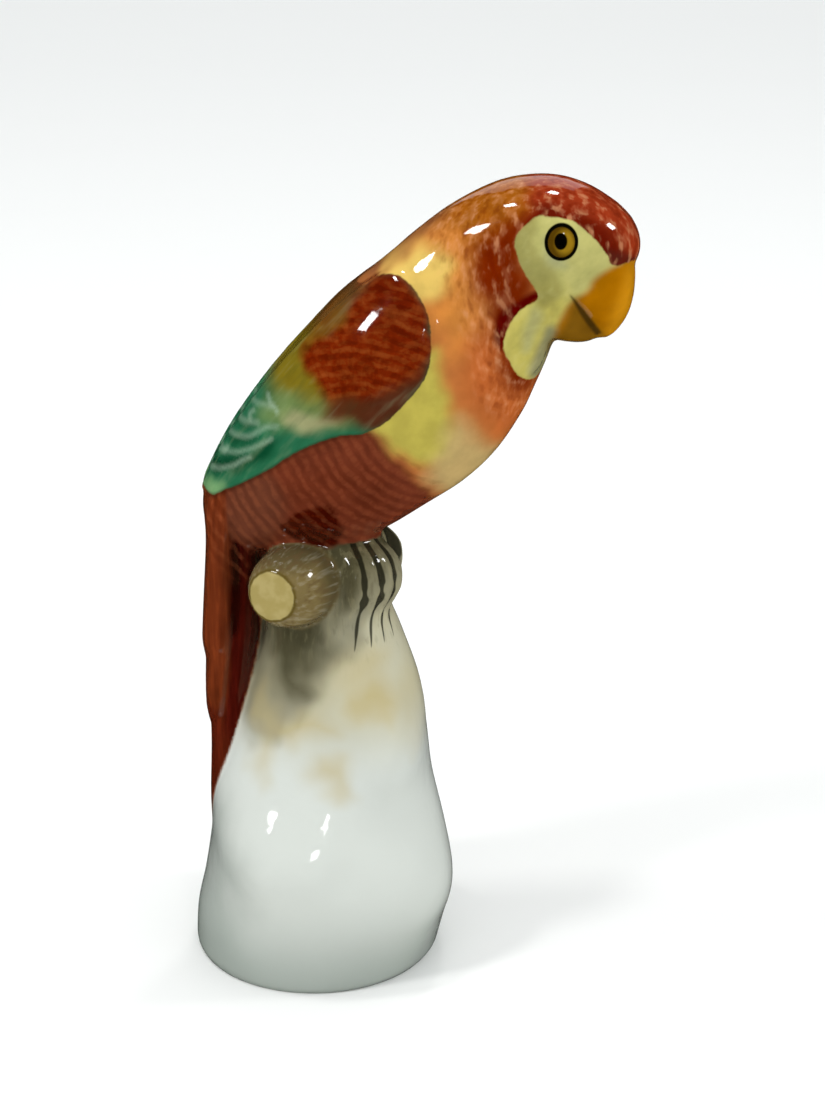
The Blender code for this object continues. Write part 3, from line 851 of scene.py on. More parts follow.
# Enamel, softness of the border in mm, strength and outline
BODY_FIELDS = [
    (NAPE, 3.0, 1.0, [(50, -24), (50, -11), (56, -9), (62, -9), (66, -14), (60, -24)]),
    (PEACH, 3.5, 1.0, [
        (37, -12), (39, -7), (37.5, -4), (42, -4), (45.5, -8), (50, -12), (50, -17.5), (45, -20),
        (42, -12),
    ]),
    (BREAST, 3.0, 0.9, [(42, -4), (38, -2), (34, 1.5), (33, 6), (32, 12), (40, 16), (44, 6), (44, -1)]),
    (BACK_BROWN, 1.6, 0.9, [
        (24, -20.3), (32, -20.8), (38, -20.2), (44, -19.6), (52, -19.2), (52, -26), (24, -26),
    ]),
    (MANTLE, 1.6, 1.0, [
        (38, -19.5), (42, -19.2), (46, -17.8), (47.2, -14), (44.8, -12.0), (42, -11.6), (40.4, -12.4),
        (38, -16),
    ]),
    (GOLD, 1.8, 1.0, [
        (36, -6.5), (33.5, -3.2), (31, 0.5), (27.6, 5.5), (24, 7.5), (21, 4), (20, -2), (20, -7),
        (30, -9),
    ]),
    (LOWER_GOLD, 2.5, 0.9, [(30, 3.5), (29.5, 9), (28, 16), (19, 16), (19.5, 7.5), (23, 5.5)]),
    (BELLY, 1.3, 1.0, [
        (-16, -8), (-8, -16), (0, -15), (8, -13), (14, -11), (19, -8), (20.2, -4.5), (19.4, 0),
        (18.6, 5), (18, 9), (13, 18), (-4, 16), (-14, 4),
    ]),
    (RUMP, 2.0, 0.8, [
        (-9, -11), (-4, -14.5), (2, -13.5), (3.5, -9), (0.5, -5.5), (-5, -4.5), (-9, -6),
    ]),
    (DARK_BELLY, 2.5, 0.40, [(3, -9), (8, -8), (14.5, -3), (15.5, 3), (10, 6), (5, 2), (2, -4)]),
    (THIGH, 0.40, 0.95, THIGH_EDGE),
    (NECK_RED, 2.4, 1.0, [
        (62, -8), (58.5, -11.5), (53, -13), (49.5, -12), (47, -8.5), (46, -5), (44, -3), (42.6, 0),
        (40.5, 3), (38.5, 7), (41, 10), (46, 3), (53, -2), (56, -7),
    ]),
    (CROWN, 1.8, 1.0, [
        (60.2, -8.5), (61.5, -11), (64, -13.5), (70, -14), (78, -6), (78, 8), (70, 14), (64, 9),
        (62.5, 5), (63.5, 0), (63, -5),
    ]),
    (DARK_CROWN, 1.5, 0.95, [
        (58, -8.6), (60.5, -10.6), (63.2, -9.8), (65.2, -6.4), (66.4, -3), (66.6, 1), (66, 5.5),
        (64.4, 8.5), (62.5, 6), (63.2, 0), (61, -6),
    ]),
    # painted shade under the brow, where the crown overhangs the beak
    (BROW_SHADE_PLUM, 0.8, 0.8, [(64.2, 1.8), (63.2, 4.3), (63.2, 6.2), (64.9, 8.2), (66.2, 8), (66, 5), (65, 3)]),
    (CRESCENT, 0.7, 1.0, [
        (53, -1.4), (50.5, -2.2), (48.2, -2.7), (45.7, -2.7), (43.8, -2.0), (42.6, -0.6), (42.3, 1.6),
        (44, 0.8), (46.4, -0.4), (49.5, -0.6), (51.8, -0.2), (53, 0),
    ]),
]
brushed_side = unsteady(side_plane, 2.6, 0.7)
for value, softness, strength, outline in BODY_FIELDS:
    field(body_paint, brushed_side, value, softness, strength, outline)
print("body fields:", len(BODY_FIELDS))

# %% [markdown]
# ## Plumage of the wings
# A wing runs from green at its tip over mint and lime to a big shield of dark red coverts at the
# shoulder. The shield's lower rim is washed out to a soft plum, and a few pale feather arcs are left
# near the tip.

# %% Wing paints
MINT, TEAL, PALE_GREEN, LIME, TIP = "#256444", "#043F24", "#6A7E48", "#746416", "#719A66"
COVERT, COVERT_PLUM, WING_TAN, WISP = "#702004", "#50200F", "#6C3C14", "#9CB49C"
WING_EDGE = [
    (-7.2, -16.8), (-3.5, -14.3), (0.8, -13.1), (4.8, -12.1), (8.2, -11.5), (11.4, -10.6), (14.2, -9.4),
    (16.7, -8.0), (18.6, -6.1), (20.8, -5.1), (23.0, -4.5), (27.5, -4.5), (31.9, -5.0), (35.5, -7.2),
    (38.9, -10.9), (40.2, -14.9), (39.6, -18.1), (37.4, -19.8), (33.3, -21.0), (30, -27), (-8, -27),
]
COVERT_EDGE = [
    (35.0, -6.6), (37.4, -8.9), (39.1, -10.9), (40.3, -13.9), (40.3, -16.7), (38.9, -19.2), (35.9, -20.4),
    (31.2, -19.9), (28.6, -19.3), (25.7, -19.6), (23.4, -20.5), (21.0, -20.5), (19.7, -19.3),
    (19.2, -16.4), (19.2, -13.2), (21.8, -11.3), (23.9, -9.1), (27.4, -7.4), (31.5, -6.3),
]
PALE_CREAM, DARK_COVERT = "#A09C70", "#560E02"
wing_paint = np.tile(linear(MINT), (count, 1))
WING_FIELDS = [
    (LIME, 2.6, 1.0, [(14, -24), (14.5, -16), (18, -11), (24, -9), (30, -16), (28, -24)]),
    (PALE_GREEN, 2.2, 0.9, [
        (8.5, -18), (12, -14.5), (15, -11.5), (20, -8.3), (20.5, -11.5), (17.5, -14.5), (13.5, -18.8),
    ]),
    (TEAL, 0.9, 0.95, [
        (-4.2, -17.0), (-1.4, -16.0), (0.8, -14.8), (3.5, -14.0), (6.8, -13.4), (8.4, -14.2),
        (7.6, -15.2), (4, -15.4), (1.1, -17.1), (-1.6, -18.2), (-3, -18.6),
    ]),
    (TEAL, 0.8, 0.8, [
        (1.5, -19.2), (2.6, -17.6), (4.6, -16.9), (6.6, -16.4), (5.2, -17.6), (3.6, -19.0),
    ]),
    (TEAL, 0.8, 0.6, [
        (4.2, -20.0), (5.0, -18.9), (6.6, -18.0), (7.6, -17.9), (6.4, -19.2), (5.2, -20.4),
    ]),
    (PALE_CREAM, 1.1, 0.8, [
        (11.4, -15.6), (11.8, -13.6), (12.8, -12.0), (15.6, -10.6), (18.8, -10.0), (16.4, -12.2),
        (14.8, -14.0), (13.0, -16.0),
    ]),
    (TIP, 0.9, 0.85, [
        (-9, -18.6), (-6.2, -17.6), (-4.6, -16.4), (-3.4, -15.2), (-6.0, -13.4), (-9, -14.5),
    ]),
    (WING_TAN, 2.0, 0.9, [(23, -22.5), (26, -19.5), (32, -19.5), (38, -19.8), (36, -25), (24, -26)]),
    (COVERT_PLUM, 1.8, 0.95, [
        (36, -6), (30, -4), (25, -3.6), (20.4, -4.6), (19.2, -8.4), (16.2, -12.0), (21, -13), (28, -9),
    ]),
    (COVERT, 1.1, 1.0, COVERT_EDGE),
    (DARK_COVERT, 2.6, 0.45, [
        (33.5, -8.5), (37, -9.5), (39.4, -13), (40, -17), (37, -19.5), (33, -20), (34, -15),
    ]),
]
for value, softness, strength, outline in WING_FIELDS:
    field(wing_paint, brushed_side, value, softness, strength, outline)
# Width of the line in mm, strength and path
FEATHER_ARCS = [
    (0.30, 0.55, [
        (-4.1, -18.1), (-3.1, -17.5), (-1.6, -16.8), (0.3, -16.1), (2.0, -15.8), (3.3, -15.4),
    ]),
    (0.30, 0.50, [
        (0.1, -19.2), (0.1, -18.4), (0.9, -17.8), (2.2, -17.0), (4.2, -16.2), (6.0, -15.6),
        (8.0, -15.1),
    ]),
    (0.35, 0.45, [(2.6, -19.6), (3.8, -18.5), (5.1, -17.6), (6.5, -17.2), (8.4, -16.8), (10.0, -15.8)]),
    (0.40, 0.40, [(5.7, -20.4), (5.6, -19.8), (6.5, -19.0), (7.8, -18.0)]),
    (0.20, 0.60, [(7.0, -18.9), (7.4, -19.5), (8.4, -19.5)]),
    (0.30, 0.70, [(11.9, -19.6), (11.5, -18.7), (11.7, -18.0), (11.5, -17.2)]),
    (0.35, 0.40, [(9.1, -20.4), (9.6, -19.8), (10.6, -19.0), (11.2, -18.2)]),
    (0.25, 0.45, [(-0.8, -18.9), (-0.2, -18.3), (1.0, -18.4)]),
]
for width, strength, arc in FEATHER_ARCS:
    lay(wing_paint, 0.75 * strength * soft(width - away_from(side_plane, arc), 0.35), WISP)
print("wing fields:", len(WING_FIELDS), "and feather arcs:", len(FEATHER_ARCS))

# %% [markdown]
# ## Bare face, lobe and beak
# The naked cheek is a warm yellow-green, with painted grey-green and bluish shade left of the eye and at
# its rim, and it runs down into a lobe that hangs beside the throat, greyer on its lower part as painted
# shade. The beak goes from orange in front to a smoky olive at the mouth. These have the crispest borders
# on the figure, so their depth is stored as a number, and the shader draws the border from it, sharper
# than the points of the skin lie.

# %% Bare skin paints
SKIN, SKIN_SHADE, SKIN_BLUE_SHADE, LOBE, LOBE_SHADE_GREY = "#B9B36C", "#8A8448", "#8B9070", "#BCB05A", "#848262"
BEAK, BEAK_FRONT, BEAK_SMOKE = "#A46600", "#CC8A14", "#725010"
FACE_EDGE = [
    (61.1, -9.2), (62.2, -7.9), (63.3, -6.4), (64.3, -4.8), (64.5, -3.0), (64.5, -1.2), (64.4, 0.7),
    (64.0, 2.7), (63.3, 4.3), (63.4, 6.4), (60, 12), (50, 14), (45.9, 8.8), (43.6, 9.5), (41.6, 9.0),
    (41.0, 6.5), (41.9, 3.5), (42.9, 1.1), (44.7, -0.1), (46.4, -0.8), (48.1, -1.1), (49.7, -1.0),
    (51.6, -0.4), (52.5, -0.7), (53.3, -3.4), (54.0, -5.7), (55.0, -7.5), (56.4, -9.4), (59.0, -9.6),
]
BEAK_EDGE = [
    (66, 7.3), (64.2, 5.6), (62.0, 4.5), (59.7, 4.1), (57.9, 4.6), (55.7, 4.4), (52.6, 4.6), (50.0, 5.8),
    (47.0, 9.0), (46, 14), (54, 22), (66, 16),
]
skin_paint = np.tile(linear(SKIN), (count, 1))
SKIN_FIELDS = [
    (LOBE, 2.4, 1.0, [
        (54.5, -1.6), (50, -2.5), (46, -2.5), (41, 2), (39, 10), (46, 10), (51, 7), (54.8, 4.8),
        (55.4, 1.5),
    ]),
    # painted shade: the next three fields darken the face left of the eye, down to the throat and near
    # the crescent
    (SKIN_SHADE, 1.0, 0.75, [
        (61, -10), (60.4, -8.2), (58.2, -7.4), (57.6, -5.8), (57.4, -3.4), (57.0, -1.0), (54.8, 2.2),
        (51.6, 1.2), (51.5, -2), (53, -8), (57, -12),
    ]),
    (SKIN_BLUE_SHADE, 1.0, 0.6, [
        (60, -6.2), (57.6, -4.2), (57.2, -2.4), (58.6, -0.6), (59.4, -2.4), (59.6, -4.4),
    ]),
    (SKIN_BLUE_SHADE, 1.0, 0.5, [
        (50.6, 0), (48.4, 0.8), (46.2, 2.0), (44.4, 4.0), (45.4, 4.6), (47.6, 3.6), (50.6, 2.2),
    ]),
    # painted shade on the lower part of the lobe
    (LOBE_SHADE_GREY, 0.9, 0.85, [(50, 4.6), (47.5, 5.0), (44.8, 6.0), (42.0, 7.4), (42, 12), (50, 12)]),
    (BEAK, 0.8, 1.0, BEAK_EDGE),
    (BEAK_FRONT, 1.6, 0.8, [(66, 7.2), (61.5, 8.6), (57, 10.8), (53, 15), (60, 22), (70, 14)]),
    (BEAK_SMOKE, 1.2, 0.85, [
        (55.6, 4.4), (54.8, 7.6), (54.2, 10.4), (53.2, 14), (46, 18), (46, 8), (50.4, 6.2),
        (53.2, 5.2),
    ]),
]
for value, softness, strength, outline in SKIN_FIELDS:
    field(skin_paint, side_plane, value, softness, strength, outline)
print("skin fields:", len(SKIN_FIELDS))

# %% [markdown]
# ## Tail, branch and stump
# The tail is maroon with a rufous outer strip and one dark groove, its paint deepened as painted shade of
# the groove. The stump fades from olive at the top, with painted shadow under the bird, under the branch
# and between branch and toes, over cream with rusty stains, to the bare cool white of the porcelain,
# which is painted greyer towards the foot and on the left as painted shade.

# %% Tail and stump paints
MAROON, RUFOUS, GROOVE_PAINT_AND_SHADE, TAIL_TIP = "#420D06", "#682C13", "#1C0402", "#531B0B"
# WHITE is the porcelain; the grey after it is painted shade, low down and on the left
WHITE, PAINTED_SHADE_GREY, CREAM, WORN_CREAM = "#CED2CB", "#949C94", "#BAB495", "#C8C5AE"
# OLIVE is the paint of the stump's top; the dark olive after it is painted shadow under the bird, the
# branch and between branch and toes
OLIVE, PAINTED_SHADOW_OLIVE, STAIN = "#665E40", "#403C27", "#B9A872"
tail_paint = np.tile(linear(MAROON), (count, 1))
TAIL_FIELDS = [
    (RUFOUS, 0.5, 1.0, [
        (-24, 82), (-12.8, 82), (-12.6, 73), (-13.0, 61), (-13.4, 50), (-14.6, 42), (-17.0, 38),
        (-24, 40),
    ]),
    (TAIL_TIP, 1.5, 1.0, [(-24, 46), (-15.5, 44), (-14.4, 41), (-13, 30), (-24, 26)]),
    # dark maroon paint in the tail's groove, deepened as painted shade of the groove
    (GROOVE_PAINT_AND_SHADE, 0.8, 0.95, [
        (-12.5, 71.6), (-11.4, 72.8), (-10.6, 70), (-10.9, 66.5), (-11.3, 62), (-11.7, 58),
        (-12.7, 57), (-12.9, 61), (-12.7, 67),
    ]),
]
for value, softness, strength, outline in TAIL_FIELDS:
    field(tail_paint, upright_plane, value, softness, strength, outline)

height, sideways = place[:, 2], place[:, 0]
stump_paint = np.tile(linear(WHITE), (count, 1))
# painted shade: the white turns greyer towards the foot
lay(stump_paint, 0.8 * soft(9 - height, 9), PAINTED_SHADE_GREY)
lay(stump_paint, soft(height - 43, 8), CREAM)
lay(stump_paint, 0.85 * soft(height - 60 + 0.5 * np.minimum(-4 - sideways, 6), 6), OLIVE)
STUMP_FIELDS = [
    (WORN_CREAM, 4.0, 0.8, [(6, 59), (13, 58), (17, 51), (14, 44), (8, 45), (4, 50)]),
    # painted shade: greyer on the left side, from the foot up
    (PAINTED_SHADE_GREY, 6.0, 0.6, [(-30, -4), (-13, -4), (-12, 14), (-14, 27), (-30, 27)]),
    # painted shadow: dark olive under the branch, between branch and toes and under the belly
    (PAINTED_SHADOW_OLIVE, 2.2, 0.55, [(-10, 60), (-5, 57), (-3.6, 50), (-4.6, 43), (-7.2, 41), (-12, 43)]),
    (PAINTED_SHADOW_OLIVE, 1.6, 0.80, [(3.0, 75), (7.6, 75), (8.0, 70), (7.2, 66), (5.2, 62), (3.4, 64), (2.6, 69)]),
    (PAINTED_SHADOW_OLIVE, 2.2, 0.42, [(4, 74), (18, 74), (18, 67), (13, 62), (8, 60), (5, 66)]),
    (PAINTED_SHADOW_OLIVE, 1.8, 0.45, [(0, 63), (7, 62), (9, 58.5), (6, 56), (1.5, 56)]),
    (PAINTED_SHADOW_OLIVE, 3.4, 0.95, [
        (-8, 63), (-3.2, 63), (1.6, 62), (2.4, 57.9), (1.6, 54.4), (-0.4, 52.2), (-1.6, 49),
        (-3.9, 50.8), (-5.4, 53.4), (-7.6, 56),
    ]),
    (PAINTED_SHADOW_OLIVE, 1.2, 0.35, [(-4.2, 52), (-1.0, 52), (-1.4, 46.0), (-2.6, 43.6), (-4.0, 47)]),
    (STAIN, 3.2, 0.5, [(4.5, 56), (9.5, 57), (11.5, 54), (9, 50), (5, 51)]),
    (STAIN, 3.0, 0.8, [(7.0, 48.5), (10.5, 49.5), (14, 47.5), (11, 45.8), (8, 46.0)]),
    (STAIN, 3.0, 0.7, [(-5, 45.5), (1, 45), (4, 44), (-1, 42.8), (-6, 43.2)]),
    (STAIN, 3.2, 0.7, [(1.5, 37.8), (5, 38), (6.5, 36), (3, 34.8), (0, 35.8)]),
    (STAIN, 2.8, 0.5, [(-9, 48), (-6.6, 47), (-7, 38), (-9.4, 36)]),
    (STAIN, 3.0, 0.25, [(14, 50), (18, 50), (19, 40), (16.5, 40), (14.6, 45)]),
    # painted shadow where the belly meets the stump
    (PAINTED_SHADOW_OLIVE, 1.0, 0.9, [(-6, 75), (3, 72.6), (8, 73.2), (14, 71.6), (14, 78), (-6, 78)]),
    (PAINTED_SHADOW_OLIVE, 1.4, 0.5, [(-2.4, 74), (1.6, 73), (2.2, 66), (0.6, 62), (-0.8, 66)]),
]
sponged = unsteady(unsteady(upright_plane, 7.0, 3.0), 2.2, 0.7)
for value, softness, strength, outline in STUMP_FIELDS:
    field(stump_paint, sponged, value, softness, strength, outline)
print("tail and stump fields:", len(TAIL_FIELDS) + len(STUMP_FIELDS))

# %% [markdown]
# ## Which paint lies where
# Each point takes the paint of the form that it lies nearest to. The two distances are compared with a
# soft brush of a few tenths of a millimetre, so the border follows the joint between two forms.

# %% Sharing the skin out
# Height in mm above which all is plumage, also where the top of the stump fills out the belly
BELLY_LEVEL = 74.4
to_ground = np.minimum(to_stump, np.minimum(to_branch, to_toes))
over_tail = soft(np.minimum(to_bird, to_ground) - to_tail, 0.35)
over_ground = soft(to_bird - to_ground - 0.5, 0.35) * soft(BELLY_LEVEL - height, 0.5) * (1 - over_tail)
over_ground *= 1 - soft(depth_inside(side_plane, THIGH_EDGE) - 0.2, 0.5)
ground_paint = body_paint + over_ground[:, None] * (stump_paint - body_paint)
ground_paint += over_tail[:, None] * (tail_paint - ground_paint)
wing_mm = np.minimum(depth_inside(side_plane, WING_EDGE), 3.0)
bare_mm = np.maximum(depth_inside(side_plane, FACE_EDGE), 0.7 - to_beak)
bare_mm = np.minimum(bare_mm, 3.0)
thigh_mm = np.minimum(depth_inside(side_plane, THIGH_EDGE), 3.0)

DABBED = [
    (40, -3), (44, -12), (50, -22), (62, -24), (78, -8), (78, 8), (66, 14), (62, 0), (58, -8), (50, -4),
    (44, 4), (38, 12), (34, 6),
]
BARRED = [(-14, -6), (-8, -16), (14, -12), (20, -7), (21, 2), (20, 10), (10, 18), (-8, 10)]
dabbed = soft(depth_inside(side_plane, DABBED), 2.5) * (1 - over_ground)
barred = soft(depth_inside(side_plane, BARRED), 1.5) * (1 - over_ground)
coverts = soft(depth_inside(side_plane, COVERT_EDGE), 1.2)
wood = over_ground * soft(height - 57, 6)
on_branch = over_ground * soft(to_stump - to_branch, 0.6)
beak_skin = soft(depth_inside(side_plane, BEAK_EDGE), 1.5)
print("share of the skin on tail and stump:", round(float((over_tail + over_ground).mean()), 2))


def store(mesh, name, kind, values):
    layer = mesh.attributes.new(name, kind, "POINT")
    key = {"FLOAT_COLOR": "color", "FLOAT_VECTOR": "vector", "FLOAT": "value"}[kind]
    layer.data.foreach_set(key, np.asarray(values, np.float32).ravel())


def with_alpha(rgb, alpha):
    return np.column_stack([rgb, alpha])


store(cut_mesh, "ground_paint", "FLOAT_COLOR", with_alpha(ground_paint, np.ones(count)))
store(cut_mesh, "wing_paint", "FLOAT_COLOR", with_alpha(wing_paint, np.ones(count)))
store(cut_mesh, "skin_paint", "FLOAT_COLOR", with_alpha(skin_paint, np.ones(count)))
store(cut_mesh, "borders", "FLOAT_VECTOR", np.column_stack([wing_mm, bare_mm, thigh_mm]))
store(cut_mesh, "brushwork", "FLOAT_VECTOR", np.column_stack([dabbed, barred, over_tail]))
store(cut_mesh, "last_brushwork", "FLOAT_VECTOR", np.column_stack([on_branch, beak_skin, over_ground]))
store(cut_mesh, "more_brushwork", "FLOAT_VECTOR", np.column_stack([coverts, wood, 1 - over_ground]))

# %% [markdown]
# ## Setting the figure on its place
# The solid's origin is on the floor under the middle of its box. The skin was built round the foot, so
# it moves by the difference between the two boxes, and the shader's own measures move with it.

# %% Into the row frame
box_low, box_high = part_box("parrot_figurine")
middle = (place.min(axis=0) + place.max(axis=0)) / 2000
shift = Vector(((box_low.x + box_high.x) / 2 - middle[0], (box_low.y + box_high.y) / 2 - middle[1], 0.0))
for vertex in cut_mesh.vertices:
    vertex.co += shift
print("shift in mm:", [round(1000 * x, 2) for x in shift])

# %% [markdown]
# ## Glazed, painted porcelain
# Overglaze enamels sink a little into a clear feldspar glaze. To the eye that is an even, deep gloss
# over colour that is slightly cloudy, with visible brush strokes. The strokes are drawn in three
# dimensions from the object's own coordinates, at the size of the real brush, so they run round the
# figure without a seam. `brush` does what the painter does: it lays one paint over another where several
# measures agree. `speckle` is the unevenness of a stroke of a given size, and `ragged` carries it to a
# border. All else is one node after the other.

# %% The material, and how its brush works
MM = 1000.0
MATH, VECTOR, RAMP = "ShaderNodeMath", "ShaderNodeVectorMath", "ShaderNodeMapRange"
glazed = bpy.data.materials.new("hand-painted porcelain under clear glaze")
glazed.use_nodes = True
enamel = glazed.node_tree


def rgba(value):
    return (*linear(value), 1.0)


def brush(under, over, *shares):
    """Lays a paint over another. A share is a number, a socket, or a measure with its two ends."""
    covered = None
    for share in shares:
        if isinstance(share, tuple):
            ends = dict(zip(("Value", "From Min", "From Max", "To Min", "To Max"), share))
            share = add(enamel, RAMP, ends, interpolation_type="SMOOTHSTEP")
        if covered is not None:
            share = add(enamel, MATH, {0: covered, 1: share}, operation="MULTIPLY")
        covered = share
    return add(enamel, "ShaderNodeMix", {0: covered, 6: under, 7: over}, data_type="RGBA").outputs[2]


def speckle(where, size, detail=2.0):
    """Cloudy unevenness between 0 and 1 whose grain has the given size in mm."""
    sizes = size if isinstance(size, tuple) else (size, size, size)
    near = add(enamel, VECTOR, {0: where, 1: sizes}, operation="DIVIDE")
    return add(enamel, "ShaderNodeTexNoise", {"Vector": near, "Scale": 1.0, "Detail": detail})


def ragged(border, size, reach):
    """A border's depth in mm, made uneven by reach on a grain of size."""
    wobble = {0: speckle(spot, size), 1: reach, 2: -reach / 2}
    wobble = add(enamel, MATH, wobble, operation="MULTIPLY_ADD")
    return add(enamel, MATH, {0: border, 1: wobble}, operation="ADD")


print("material:", glazed.name)

# %% What the shader knows of a spot on the skin
spot = add(enamel, "ShaderNodeTexCoord").outputs["Object"]
spot = add(enamel, VECTOR, {0: spot, 1: tuple(shift)}, operation="SUBTRACT")
spot = add(enamel, VECTOR, {0: spot, 1: (MM, MM, MM)}, operation="MULTIPLY")
x, y, z = add(enamel, "ShaderNodeSeparateXYZ", {0: spot}).outputs
leaning = add(enamel, "ShaderNodeVectorRotate", {"Vector": spot, "Angle": lean}, rotation_type="Y_AXIS")
along = add(enamel, "ShaderNodeSeparateXYZ", {0: leaning}).outputs[0]
along = add(enamel, MATH, {0: along, 1: seat * math.sin(lean)}, operation="SUBTRACT")
stored = {}
for name in ("borders", "brushwork", "more_brushwork", "last_brushwork"):
    read = add(enamel, "ShaderNodeAttribute", attribute_name=name).outputs["Vector"]
    stored[name] = add(enamel, "ShaderNodeSeparateXYZ", {0: read}).outputs
wing_depth, bare_depth, thigh_depth = stored["borders"]
head_share, belly_share, tail_share = stored["brushwork"]
shield_share, wood_share, plumage_share = stored["more_brushwork"]
branch_share, beak_share, _ = stored["last_brushwork"]
colour, wing, skin_tone = (
    add(enamel, "ShaderNodeAttribute", attribute_name=name).outputs["Color"]
    for name in ("ground_paint", "wing_paint", "skin_paint")
)
print("read from the skin:", list(stored))

# %% [markdown]
# ## Rows of feathers
# A painter sets feathers in rows that curve round the body. Each set of rows is a stack of circles round
# a centre on the bird's side, bent a little by noise, with fine hairs across the rows and longer blots
# along them. An image of feathers would be quicker, but it would stretch on the round head.

# %% Feather rows
# Centre of the rows on the bird's side (x and z in mm), spacing of the rows and width of a hair
HEAD_ROWS = ((41.0, 121.0), 1.80, 0.48)
BELLY_ROWS = ((26.5, 101.7), 1.70, 0.55)
COVERT_ROWS = ((8.1, 86.8), 1.60, 0.55)
THIGH_ROWS = ((-4.0, 60.0), 1.45, 0.40)
# Radius at which the arc along a row is measured, width of a hair's run and of a blot
ROW_RADIUS, HAIR_RUN, BLOT = 18.0, 2.4, 2.2
# Two waves that bend the rows: size of the grain and depth, in mm
SLOW_BEND, QUICK_BEND = (2.857, 1.2), (0.9091, 0.5)


def feathers(rows):
    """Rows of feathers round a centre: the row's wave, fine hairs across it, and blots along it."""
    (centre_x, centre_z), spacing, hair = rows
    away_x = add(enamel, MATH, {0: x, 1: centre_x}, operation="SUBTRACT")
    away_z = add(enamel, MATH, {0: z, 1: centre_z}, operation="SUBTRACT")
    flat = add(enamel, "ShaderNodeCombineXYZ", {0: away_x, 1: 0.0, 2: away_z})
    bent = add(enamel, VECTOR, {0: flat}, operation="LENGTH").outputs["Value"]
    for size, depth in (SLOW_BEND, QUICK_BEND):
        bent = add(enamel, MATH, {0: speckle(spot, size), 1: depth, 2: bent}, operation="MULTIPLY_ADD")
    phase = add(enamel, MATH, {0: bent, 1: 2 * math.pi / spacing}, operation="MULTIPLY")
    sine = add(enamel, MATH, {0: phase}, operation="SINE")
    wave = add(enamel, MATH, {0: sine, 1: 0.5, 2: 0.5}, operation="MULTIPLY_ADD")
    angle = add(enamel, MATH, {0: away_z, 1: away_x}, operation="ARCTAN2")
    arc = add(enamel, MATH, {0: angle, 1: ROW_RADIUS}, operation="MULTIPLY")
    unrolled = add(enamel, "ShaderNodeCombineXYZ", {0: bent, 1: arc, 2: y})
    hairs = speckle(unrolled, (HAIR_RUN, hair, 2 * hair), 3.0)
    blots = speckle(unrolled, (spacing / 0.7, BLOT, BLOT))
    return wave, hairs, blots


head_wave, _, _ = feathers(HEAD_ROWS)
belly_wave, belly_hairs, belly_blots = feathers(BELLY_ROWS)
covert_wave, covert_hairs, covert_blots = feathers(COVERT_ROWS)
thigh_wave, thigh_hairs, _ = feathers(THIGH_ROWS)
print("rows are", [rows[1] for rows in (HEAD_ROWS, BELLY_ROWS, COVERT_ROWS, THIGH_ROWS)], "mm apart")

# %% [markdown]
# ## Strokes on head, belly and tail
# Head and neck are dabbed: a short dark or pale dab of a brush about a millimetre wide in every row.
# The belly has fine bars, the thigh a darker patch of them, and the tail long streaks down the vanes.

# %% Head, belly, thigh and tail strokes
DAB_PALE, DAB_RUST, DEEPEST_RED = "#DA9A6C", "#641200", "#2A0300"
BAR_ROSE, THIGH_ROW = "#B0603C", "#581602"
# Width, depth and height of a dab on head and neck, where the brush ran down, and of a streak of the tail
DAB_SIZE, STREAK_SIZE = (1.3, 1.3, 2.6), (0.8, 0.8, 8.0)
# How much brighter the enamel is where a streak is thin
STREAK_GAIN = 1.8

pale = brush(colour, rgba(DAB_PALE), 0.50)
deep = brush(colour, rgba(DEEPEST_RED), 0.62)
rusty = brush(colour, rgba(DAB_RUST), 0.65)
dabs = speckle(spot, DAB_SIZE)
colour = brush(colour, rusty, (head_wave, 0.9, 0.1, 0.35, 1.0), (dabs, 0.58, 0.30), head_share, 0.75)
colour = brush(colour, pale, (head_wave, 0.1, 0.9, 0.35, 1.0), (dabs, 0.46, 0.72), head_share, 0.95)
rosy = brush(colour, rgba(BAR_ROSE), 0.30)
colour = brush(colour, rosy, (belly_wave, 0.30, 1.0), (belly_hairs, 0.25, 0.65), belly_share, 0.45)
colour = brush(colour, deep, (belly_wave, 0.60, 0.0), (belly_blots, 0.68, 0.36), belly_share, 0.35)
on_thigh, thigh_stroke = (thigh_depth, 0.1, 0.7), (thigh_hairs, 0.35, 0.6)
colour = brush(colour, rgba(THIGH_ROW), on_thigh, (thigh_wave, 0.55, 0.95), thigh_stroke, 0.50)
streak = speckle(spot, STREAK_SIZE, 3.0)
warmer = add(enamel, VECTOR, {0: colour, "Scale": STREAK_GAIN}, operation="SCALE")
colour = brush(colour, warmer, (streak, 0.48, 0.72), tail_share, 0.60)
colour = brush(colour, deep, (streak, 0.50, 0.28), tail_share, 0.45)
print("nodes so far:", len(enamel.nodes))

# %% [markdown]
# ## Strokes on the wings
# The shield of coverts has rows of broken dark and rusty strokes, and the green flight feathers are
# swept along the wing. The wing's border comes from the stored depth, so it is as sharp as a brush line,
# and a dark line of painted shadow lies along its lower rim, under the raised edge of the wing.

# %% Wing strokes
SHIELD_DEEP, SHIELD_PALE = "#3C0600", "#B0662C"
SWEEP_PALE, SWEEP_DEEP, WING_RIM_SHADOW = "#9CAA80", "#0A3A22", "#2E0E04"
SMUDGE_SIZE, SWEEP_SIZE = (2.4, 2.4, 1.4), (6.5, 1.5, 1.5)

